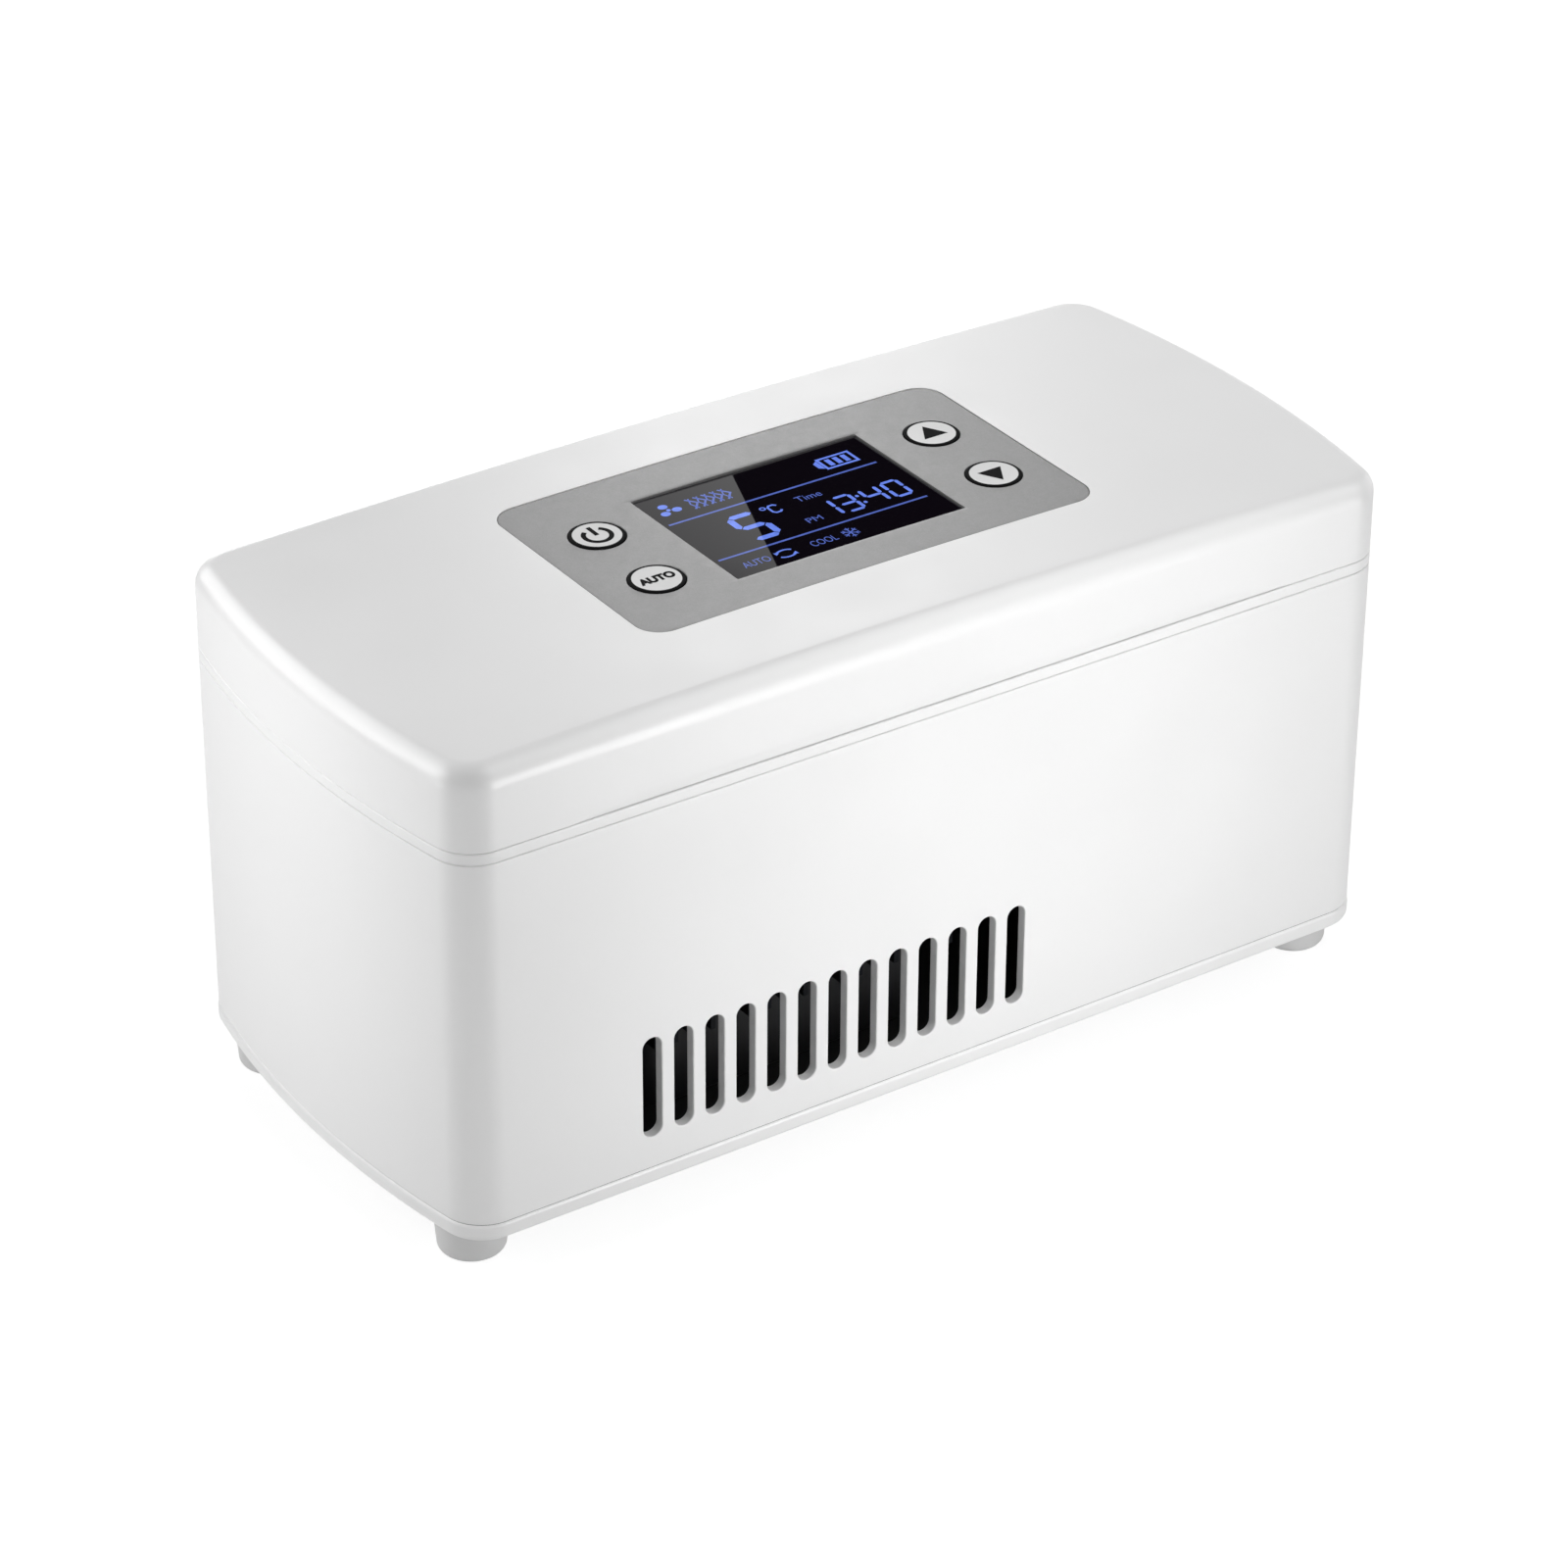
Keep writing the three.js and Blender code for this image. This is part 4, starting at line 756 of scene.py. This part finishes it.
def power_socket():
    bore, radius, mouth = SOCKET_BORE, SOCKET_RADIUS, SOCKET_MOUTH
    barrel = tube([(bore, mouth - 0.3), (bore + 0.3, mouth), (radius - 0.2, mouth), (radius, mouth - 0.2),
                   (radius, SOCKET_REAR), (bore, SOCKET_REAR), (bore, SOCKET_FLOOR)], 48)
    floor = prism(circle_loop(bore + 0.2, count=48), SOCKET_FLOOR - 1.1, SOCKET_FLOOR)
    pin = skin(round_rings([(SOCKET_PIN, SOCKET_FLOOR - 0.6), (SOCKET_PIN, PIN_TIP - 0.6),
                            (0.85, PIN_TIP - 0.3), (0.4, PIN_TIP - 0.1), (0.02, PIN_TIP)], count=32))
    block = bar(SOCKET_X, mouth - 8.7, 4.5, 7, SOCKET_Z - 5.5, SOCKET_Z + 5.5, 0.3)
    case = object_of("power_socket_case", block)
    hole = prism(circle_loop(radius + 0.02, count=48), SOCKET_REAR - 0.5, mouth - 0.1)
    cut(case, along_y(hole, SOCKET_X, SOCKET_Z))
    finished(case, "case", "black_plastic", "dc_jack")
    for name, slot, part in (("barrel", "black_plastic", merged(barrel, floor)), ("pin", "steel", pin)):
        piece(f"power_socket_{name}", "case", slot, along_y(part, SOCKET_X, SOCKET_Z))


def fan_frame():
    bottom, top = FLOOR_TOP, FLOOR_TOP + FAN_DEPTH

    def duct(grow, z):
        return ring([turned(FAN_DUCT + grow, atan2(y, x), SLOT_ROW_X)
                     for x, y in rectangle_loop(2, 2, 0.999)], z)

    rings = box_rings(FAN_BOX, [(0, bottom + 0.4), (0, top - 0.4), (-0.4, top)])
    rings += [duct(0.5, top), duct(0, top - 0.5), duct(0, bottom + 0.5), duct(0.5, bottom)]
    rings += box_rings(FAN_BOX, [(-0.4, bottom)])
    housing = object_of("fan_housing", skin(rings, closed=True))
    cut(housing, *drills(FAN_SCREWS, SCREW_HOLE, bottom - OVERRUN, top + OVERRUN))
    finished(housing, "case", "black_plastic", "fan_frame")
    under = top - FAN_PLATE
    hub = tube([(SHAFT_HOLE, under), (FAN_HUB - 0.3, under), (FAN_HUB, under + 0.3), (FAN_HUB, top - 0.3),
                (FAN_HUB - 0.3, top), (SHAFT_HOLE, top)])
    near, far = FAN_HUB - 0.5, FAN_DUCT + 0.6
    spoke = bar((near + far) / 2, 0, (far - near) / 2, SPOKE_HALF, under, top, 0.3)
    spokes = [spun(spoke, pi / 4 + 2 * pi * i / FAN_SPOKES) for i in range(FAN_SPOKES)]
    piece("fan_hub_and_spokes", "case", "black_plastic", moved(merged(hub, *spokes), SLOT_ROW_X))


def fan_blade(bottom, chord=6, sections=8):
    """A blade that runs out along +X, twisted and thickest in its middle."""
    outline = [(1, i / chord) for i in range(chord + 1)] + [(-1, 1 - i / chord) for i in range(1, chord)]
    near, far = FAN_HUB - 1, FAN_DUCT - 1
    rings = []
    for step in range(sections + 1):
        share = step / sections
        radius = near + (far - near) * share
        sweep = (9 + 6 * share) / (2 * radius)
        loop = []
        for side, across in outline:
            bulge = sin(pi * across)
            middle = bottom + ROTOR_HEIGHT / 2 + BLADE_RISE * (across - 0.5) + 0.5 * bulge
            loop.append((*turned(radius, sweep * (2 * across - 1)), middle + side * (0.12 + 0.33 * bulge)))
        rings.append(loop)
    return skin(rings)


def fan_rotor():
    top = FLOOR_TOP + FAN_DEPTH - SEAT_GAP
    rim = top - FAN_PLATE
    bottom = rim - ROTOR_HEIGHT
    profile = [(AXIS, bottom), (FAN_HUB - 1.2, bottom), (FAN_HUB - 0.35, bottom + 0.35),
               (FAN_HUB, bottom + 1.2), (FAN_HUB, rim), (SHAFT, rim), (SHAFT, top), (AXIS, top)]
    blade = fan_blade(bottom)
    blades = [spun(blade, 2 * pi * i / BLADES) for i in range(BLADES)]
    part = moved(merged(skin(round_rings(profile)), *blades), SLOT_ROW_X)
    piece("fan_impeller", "fan_rotor", "black_plastic", part, "fan_rotor")


# Lid

def relief(x, y):
    """How far the finger scoop under the lid's front edge has opened at a place, from 0 to 1."""
    if y > RELIEF_BAND - HALF_WIDTH:
        return 0
    return min(1, max(0, (RELIEF_HALF + RELIEF_RUN - abs(x)) / RELIEF_RUN))


def lid_lower_edge(steps=7):
    """Rings round the lid's lower edge: a small rounding that widens into the finger scoop."""
    rings = []
    for step, (rise, back) in enumerate(quarter_round(0, 0, SOFT_EDGE, steps, up=False)):
        part = step / steps
        scoop = (SCOOP_DEPTH * (1 - part) ** 2, LID_SKIRT + SCOOP_HEIGHT * part)
        plain, scooped = case_rings([(back, LID_SKIRT + rise), scoop])
        rings.append([between(p, q, relief(p[0], p[1])) for p, q in zip(plain, scooped)])
    return rings


def lid_shell():
    wall, bottom = LID_SKIRT_WALL, LID_BOTTOM
    inner = case_rings([(WALL, CEILING), (WALL, bottom + 0.15), (WALL - 0.15, bottom), (wall + 0.1, bottom),
                        (wall, bottom - 0.1), (wall, LID_SKIRT)])
    outer = lid_lower_edge() + case_rings([(0, LID_SKIRT + 3)])
    # The fillet starts at one height all round and ends on the crowned top
    fillet = [ring(case_loop(inset), lambda x: lid_top(x) - down * (1 + lid_rise(x) / LID_EDGE))
              for inset, down in quarter_round(0, 0, LID_EDGE, 12, up=False)]
    pocket = creased(PANEL, 1, PANEL_GAP)
    top = blend_rings(fillet[-1], pocket[0], TOP_STEPS, lid_top)
    shell = object_of("lid_shell_skin", skin(inner + outer + fillet + top + pocket[1:]))
    low, high = CEILING - OVERRUN, POCKET_FLOOR + OVERRUN / 2
    cut(shell, *drills(BUTTONS, BUTTON_RADIUS + BUTTON_FLANGE + SEAT_GAP, low, high, ROUND),
        window_bar(LENS_OVERLAP + PANEL_GAP, low, high))
    add_knuckles(shell, LID_KNUCKLES, LID_KNUCKLE, HINGES, RIM_KNUCKLE)
    finished(shell, "lid", "white_plastic", "lid_shell", sharp=radians(28))
    posts("lid_posts", "lid", LID_SCREWS, LID_POST, LINER_TOP, CEILING)


def lid_liner():
    edge = quarter_round(LINER_INSET, LINER_BOTTOM, LINER_EDGE, up=False)[::-1]
    liner = object_of("lid_liner_skin", skin(case_rings(edge + [(LINER_INSET, LINER_TOP)])))
    low, high = LINER_BOTTOM - OVERRUN, LINER_TOP + OVERRUN
    cut(liner, *drills(LID_SCREWS, SCREW_HOLE, low, high),
        *drills(MAGNETS, MAGNET_HOLE, LINER_TOP - MAGNET_HEIGHT, high, 48))
    near, far = GASKET_INSET - GASKET_GAP, GASKET_INSET + GASKET_WIDTH + GASKET_GAP
    groove = box_rings(CHAMBER, [(far, low), (far, GASKET_TOP), (near, GASKET_TOP), (near, low)])
    cut(liner, *drills(LID_SCREWS, SCREW_HEAD + SEAT_GAP, low, LINER_BOTTOM + HEAD_HEIGHT, 48),
        skin(groove, closed=True))
    finished(liner, "lid", "liner_plastic", "lid_liner")


def gasket(steps=12):
    half = GASKET_WIDTH / 2
    middle = GASKET_INSET + half
    profile = [(middle - half, GASKET_TOP), (middle + half, GASKET_TOP)]
    for i in range(steps + 1):
        angle = pi * i / steps
        profile.append((middle + half * cos(angle), RIM_TOP + GASKET_ROUND * (1 - sin(angle))))
    piece("lid_seal", "lid", "seal_rubber", skin(box_rings(CHAMBER, profile), closed=True), "lid_gasket")


# Panel

def control_panel():
    outer, inner = creased(PANEL, -1, drop=PANEL_DROP), creased(WINDOW, 1, drop=PANEL_DROP)
    face = blend_rings(outer[0], inner[0], TOP_STEPS, under_top(PANEL_DROP))
    sheet = object_of("control_panel_sheet", skin(outer[::-1] + face + inner[1:], closed=True))
    radius, low = BUTTON_RADIUS + BUTTON_GAP, POCKET_FLOOR - OVERRUN
    cut(sheet, *[flared_hole(x, y, radius, low, lid_top(x) - PANEL_DROP) for _, x, y in BUTTONS])
    finished(sheet, "lid", "panel_grey", "control_panel")


def display_window():
    flange = window_bar(LENS_OVERLAP, LENS_BOTTOM, POCKET_FLOOR, 0.05)
    raised = window_bar(-PANEL_GAP, LENS_BOTTOM + LENS_STEP, LENS_TOP, 0.08)
    piece("display_glass_front", "lid", "display_glass", merged(flange, raised), "display_window")


def button_top(x):
    return lid_top(x) - PANEL_DROP + BUTTON_PROUD


def button(name, x, y):
    """A button with a dark ring round its light face."""
    top = button_top(x)
    flange, under = BUTTON_RADIUS + BUTTON_FLANGE, POCKET_FLOOR - FLANGE_GAP
    low = POCKET_FLOOR - 1
    profile = [(AXIS, low), (flange, low), (flange, under), (BUTTON_RADIUS, under)]
    profile += [(BUTTON_RADIUS - inset, z) for inset, z in quarter_round(0, top, BUTTON_EDGE, 5)]
    profile += [(BUTTON_RING, top), (BUTTON_RING - 0.03, top), (2.2, top), (AXIS, top)]
    cap = object_of(f"{name}_button_cap", skin(round_rings(profile, x, y)))
    two_looks(cap, ("ink", "button_plastic"), lambda centre, normal: (
        normal.z > 0.9 and centre.z > top - 0.05
        and hypot(centre.x - x, centre.y - y) < BUTTON_RING - 0.01))
    finished(cap, f"{name}_button", "button_plastic", f"{name}_button", weighted=False)


# Lettering and symbols

def flat_shape(loops, z, height=INK):
    """Thin solids from closed loops, standing on a height."""
    return merged(*[prism(loop, z, z + height) for loop in loops])


def stroke(points, width, closed=False):
    """A mitred band along a line of points, as loops of one quad for each stretch."""
    count = len(points)
    sides = []
    for i in range(count):
        before = points[i - 1] if i > 0 or closed else None
        after = points[(i + 1) % count] if i < count - 1 or closed else None
        here = Vector(points[i])
        one = (here - Vector(before)).normalized() if before else None
        two = (Vector(after) - here).normalized() if after else None
        heading = ((one or two) + (two or one)).normalized()
        normal = Vector((-heading.y, heading.x))
        reach = width / 2 / max(0.35, heading.dot(two or one))
        sides.append((here + normal * reach, here - normal * reach))
    return [[a[1], b[1], b[0], a[0]] for a, b in zip(sides, sides[1:] + sides[:1] if closed else sides[1:])]


def arc(x, y, radius_x, radius_y, start, end, steps=24):
    angles = [radians(start + (end - start) * i / steps) for i in range(steps + 1)]
    return [(x + radius_x * cos(angle), y + radius_y * sin(angle)) for angle in angles]


def fitted(values, middle, size):
    low, high = min(values), max(values)
    return [middle + (value - (low + high) / 2) * size / (high - low) for value in values]


def lettering(text, x, y, height, width, z, thickness=INK, weight=0):
    """Words as thin solids, centred on a place and fitted to a height and a width."""
    curve = bpy.data.curves.new("words", "FONT")
    curve.body, curve.size, curve.extrude, curve.offset = text, 1, 0.5, weight
    words = placed("words", curve)
    mesh = evaluated_mesh(words)
    places = [tuple(v.co) for v in mesh.vertices]
    faces = [tuple(p.vertices) for p in mesh.polygons]
    bpy.data.objects.remove(words)
    across, up, rise = zip(*places)
    heights = [z + (value + 0.5) * thickness for value in rise]
    return list(zip(fitted(across, x, width), fitted(up, y, height), heights)), faces


def symbols():
    for name, x, y in BUTTONS:
        z = button_top(x)
        if name == "auto":
            part = lettering("AUTO", x, y, 2.3, 7.2, z, weight=0.06)
        elif name == "power":
            band = stroke(arc(x, y - 0.15, 2.5, 2.5, 125, 415, 48), 0.9)
            part = flat_shape(band + stroke([(x, y - 0.1), (x, y + 3.2)], 0.85), z)
        else:
            turn = 1 if name == "up" else -1
            base = y - turn * 1.55
            part = flat_shape([[(x - 2.55, base), (x + 2.55, base), (x, y + turn * 3)][::turn]], z)
        piece(f"{name}_button_symbol", f"{name}_button", "black_plastic", part, weighted=False, look="ink")


# The ends of a digit's bars, as columns (left, right) and rows (low, middle, high)
DIGIT_BARS = {
    "a": (0, 2, 1, 2), "b": (1, 1, 1, 2), "c": (1, 0, 1, 1), "d": (0, 0, 1, 0),
    "e": (0, 0, 0, 1), "f": (0, 1, 0, 2), "g": (0, 1, 1, 1),
}
LIT_BARS = {"0": "abcdef", "1": "bc", "3": "abcdg", "4": "bcfg", "5": "acdfg"}


def digit(character, left, right, low, high, width):
    """Bars with pointed ends, a little apart."""
    half, gap = width / 2, width * 0.12
    columns, rows = (left + half, right - half), (low + half, (low + high) / 2, high - half)
    loops = []
    for name in LIT_BARS[character]:
        x0, y0, x1, y1 = DIGIT_BARS[name]
        start, end = Vector((columns[x0], rows[y0])), Vector((columns[x1], rows[y1]))
        along = (end - start).normalized()
        side, tip = Vector((along.y, -along.x)) * half, along * half
        start, end = start + along * gap, end - along * gap
        near, far = start + tip, end - tip
        loops.append([start, near + side, far + side, end, far - side, near - side])
    return loops


def display_content():
    """What the display shows; places are in millimetres from the middle of the lid."""
    bright, dim = [], []
    # Two lines, a fan, a row of chevrons and a battery
    for y in (7.63, -8.24):
        dim += stroke([(-21.6, y), (23, y)], 0.5)
    fan_x, fan_y = -18.5, 12.6
    for angle in (100, 220, 340):
        bright.append(arc(*turned(1.55, radians(angle), fan_x, fan_y), 0.95, 0.82, angle, angle + 345, 20))
    bright.append(arc(fan_x, fan_y, 0.42, 0.42, 0, 345, 16))
    for i in range(5):
        x = -14.1 + 1.75 * i
        dim += stroke([(x, 14.3), (x + 1.55, 12.3), (x, 10.3)], 0.42)
        dim += stroke([(x + 0.8, 14.3), (x + 0.1, 12.3), (x + 0.8, 10.3)], 0.28)
    bright += stroke([(14.3, 14.1), (20.9, 14.1), (20.9, 10.2), (14.3, 10.2)], 0.55, closed=True)
    bright.append([(12.9, 11.2), (13.9, 10.5), (13.9, 13.8), (12.9, 13.1)])
    for x in (15.9, 17.6, 19.3):
        bright.append([(x - 0.5, 10.9), (x + 0.5, 10.9), (x + 0.5, 13.4), (x - 0.5, 13.4)])
    # Temperature and time
    bright += digit("5", -12.4, -6, -6, 4.45, 1.35)
    bright += stroke(arc(-4.35, 3.75, 0.5, 0.5, 0, 330, 11), 0.3, closed=True)
    bright += stroke([(-1.5, 3.6), (-2, 4.1), (-2.9, 4.1), (-3.35, 3.6), (-3.35, 1.8), (-2.9, 1.3),
                      (-2, 1.3), (-1.5, 1.8)], 0.45)
    for character, left in (("1", 3.4), ("3", 7.85), ("4", 13.35), ("0", 18.15)):
        bright += digit(character, left, left + 3.9, -6, 0.5, 0.72)
    for y in (-1.4, -4.1):
        bright.append(arc(12.5, y, 0.36, 0.42, 0, 330, 11))
    # Two arrows that turn round each other, and a snowflake
    for start, side in ((35, 1), (215, -1)):
        band = arc(-10.2, -12.4, 1.9, 1.3, start, start + 105, 14)
        x, y = band[-1]
        bright += stroke(band, 0.42)
        bright.append([(x + dx * side, y + dy * side)
                       for dx, dy in ((-0.5, 0.35), (-0.4, -0.7), (0.45, -0.1))])
    middle = Vector((3.7, -12.15))
    for arm in range(6):
        along = Vector(turned(1, radians(30 + 60 * arm)))
        across = Vector((-along.y, along.x))
        knee = middle + along * 0.95
        dim += stroke([middle, middle + along * 1.75], 0.26)
        for side in (-1, 1):
            dim += stroke([knee, knee + along * 0.5 + across * 0.5 * side], 0.22)
    words = [lettering(*word, LENS_TOP, LIT_HEIGHT) for word in (
        ("Time", 5.15, 3.3, 1.9, 5.2), ("PM", 1.2, -4.45, 1.75, 3.1),
        ("AUTO", -16.3, -12.2, 2, 5.6), ("COOL", -2, -12.15, 2, 5.4))]
    for name, loops, more, tone in (("segments", bright, [], "lit"), ("words", dim, words, "dim")):
        part = merged(flat_shape(loops, LENS_TOP, LIT_HEIGHT), *more)
        piece(f"display_{name}", "lid", "display_glass", part, weighted=False, look=f"display_{tone}")


body_shell()
base_cover()
rim_frame()
feet()
screws("case", "case", FEET, FOOT_RECESS, 22)
screws("fan", "case", FAN_SCREWS, BASE_BOTTOM, 9)
screws("lid", "lid", LID_SCREWS, LINER_BOTTOM + HEAD_HEIGHT, 8)
chamber()
power_socket()
fan_frame()
fan_rotor()
lid_shell()
lid_liner()
gasket()
control_panel()
display_window()
for row in BUTTONS:
    button(*row)
symbols()
display_content()

# The nodes that stay as they are take the finish that the record gives them
for row in frame["record"]["subparts"]:
    node = frame["nodes"][row["node"]]
    if not node.hide_render:
        node.data.materials.clear()
        node.data.materials.append(materials[row["material_slot"]])
        node.data.set_sharp_from_angle(angle=SHARP)


# Camera, at the photograph's viewing angle
LENS, SENSOR, CAMERA_DISTANCE = 124.37, 36, 988.04
AZIMUTH, ELEVATION, ROLL = radians(-34.19), radians(30.469), radians(0.292)
TARGET = Vector((-2.235, -0.396, 47.15))

turn = (Matrix.Rotation(AZIMUTH, 4, "Z") @ Matrix.Rotation(pi / 2 - ELEVATION, 4, "X")
        @ Matrix.Rotation(ROLL, 4, "Z"))
eye = TARGET + turn.to_3x3() @ Vector((0, 0, CAMERA_DISTANCE))
camera = placed("camera", bpy.data.cameras.new("camera"))
camera.data.lens, camera.data.sensor_width = LENS, SENSOR
camera.data.clip_start, camera.data.clip_end = 0.05, 50
camera.matrix_world = Matrix.Translation(eye / METRE) @ turn
bpy.context.scene.camera = camera


# World and floor; lengths from here on are in metres

def stage_sheet(name, corner_places):
    """A four-cornered sheet, and the nodes of its own still empty material."""
    mesh = bpy.data.meshes.new(name)
    mesh.from_pydata(corner_places, [], [(0, 1, 2, 3)])
    mesh.materials.append(bpy.data.materials.new(name))
    n = Nodes(mesh.materials[0])
    n.tree.nodes.remove(n.tree.nodes["Principled BSDF"])
    return placed(name, mesh), n


WORLD_LIGHT, WHITE_LIGHT = 0.12, (1, 1, 1, 1)
world = bpy.data.worlds.new("studio")
bpy.context.scene.world = world
n = Nodes(world)
plain = n.tree.nodes["Background"]
n.feed(plain, Color=WHITE_LIGHT, Strength=WORLD_LIGHT)
white = n.add("Background", Color=WHITE_LIGHT, Strength=1)
n.feed(n.tree.nodes["World Output"], n.seen_mix(plain.outputs[0], white.outputs[0]))

# The floor glows a little less under the object, where its shadow falls, than away from it
GLOW_NEAR, GLOW_FAR, GLOW_START, GLOW_END = 0.86, 1, 0.14, 0.4
FLOOR_REACH = 12
FLOOR_COLOUR, SHADOWED_COLOUR = (0.8, 0.8, 0.8, 1), (0.28, 0.28, 0.28, 1)
floor, n = stage_sheet("floor", [(sx * FLOOR_REACH, sy * FLOOR_REACH, 0) for sx, sy in SQUARE])
distance = n.add("VectorMath", n.place, operation="LENGTH").outputs["Value"]
rise = n.spread(distance, GLOW_NEAR, GLOW_FAR, GLOW_START, GLOW_END, interpolation_type="SMOOTHSTEP")
glow = n.add("Emission", Strength=rise).outputs[0]
shadowed = n.add("BsdfDiffuse", SHADOWED_COLOUR).outputs[0]
matte = n.add("BsdfDiffuse", FLOOR_COLOUR).outputs[0]
both = n.add("AddShader", shadowed, glow).outputs[0]
n.feed(n.tree.nodes["Material Output"], n.seen_mix(matte, both))


# Lamps

def lamp(name, place, aim, size, power, width=None, diffuse=True, glossy=True):
    item = placed(name, bpy.data.lights.new(name, "AREA"))
    item.data.shape = "RECTANGLE"
    item.data.size, item.data.size_y = width or size, size
    item.data.energy = power
    item.location = place
    item.rotation_euler = (Vector(aim) - Vector(place)).to_track_quat("-Z", "Y").to_euler()
    item.visible_camera = False
    item.visible_diffuse, item.visible_glossy = diffuse, glossy


lamp("left_near", (-0.202, 0.015, 0.13), (-0.102, 0.012, 0.05), 0.1, 0.075)
lamp("left_far", (-0.3, 0.02, 0.05), (-0.102, 0.01, 0.055), 0.1, 0.125)
lamp("front_low", (0.02, -0.22, 0.055), (0.02, -0.047, 0.05), 0.1, 0.161)
lamp("front_high", (0, -0.227, 0.22), (0, -0.047, 0.06), 0.2, 0.175, glossy=False)
lamp("overhead", (0.15, 0.1, 0.5), (0.05, 0, 0.1), 0.3, 1.08, glossy=False)
lamp("rear", (0.2, 0.5, 0.06), (0, 0.047, 0.055), 0.3, 0.75)
lamp("right", (0.5, 0, 0.06), (0.1, 0, 0.055), 0.3, 0.3)

# These only show in reflections: along the lid's left and front edges, and on its top
lamp("left_edge_sheen", (-0.28, 0.25, 0.27), (-0.1, 0, 0.1), 0.3, 1.6, width=0.5, diffuse=False)
lamp("front_edge_sheen", (0.09, -0.24, 0.075), (-0.015, -0.047, 0.095), 0.15, 0.35, width=0.28, diffuse=False)
lamp("front_edge_fill", (0.19, -0.23, 0.39), (0, -0.047, 0.1), 0.4, 0.95, diffuse=False)
lamp("top_sheen", (0.384, 0.577, 0.458), (0.045, 0.078, 0.103), 0.15, 0.42, diffuse=False)

# Two cards, seen only in reflections: a black one darkens the right part of the display up to a
# slanting line, and one whose glow fades towards the lower left tones the part beyond the line.
# Their corners are given in millimetres, as the places on the display where they appear
SHEEN_EDGE = [(-14.8, -17), (-0.2, 21.5)]
BLACK_REST = [(40, 24), (40, -20)]
GLOW_REST = [(-40, 21.5), (-40, -17)]
GLOW_TONES = [0.85, 1, 0.5, 0.25]
CARD_DISTANCE = 600


def card(name, places, tones):
    mirrored_eye = Vector((eye.x, eye.y, 2 * LENS_TOP - eye.z))
    seen = [Vector((x, y, LENS_TOP)) for x, y in places]
    item, n = stage_sheet(name, [
        (place + (place - mirrored_eye).normalized() * CARD_DISTANCE) / METRE for place in seen])
    item.data.attributes.new("tone", "FLOAT", "POINT").data.foreach_set("value", tones)
    tone = n.add("Attribute", attribute_name="tone").outputs["Fac"]
    n.feed(n.tree.nodes["Material Output"], n.add("Emission", Strength=tone).outputs[0])
    item.visible_camera = item.visible_diffuse = item.visible_shadow = item.visible_transmission = False


card("black_card", SHEEN_EDGE + BLACK_REST, [0] * 4)
card("glow_card", SHEEN_EDGE + GLOW_REST, GLOW_TONES)

bpy.context.scene.view_settings.view_transform = "Standard"
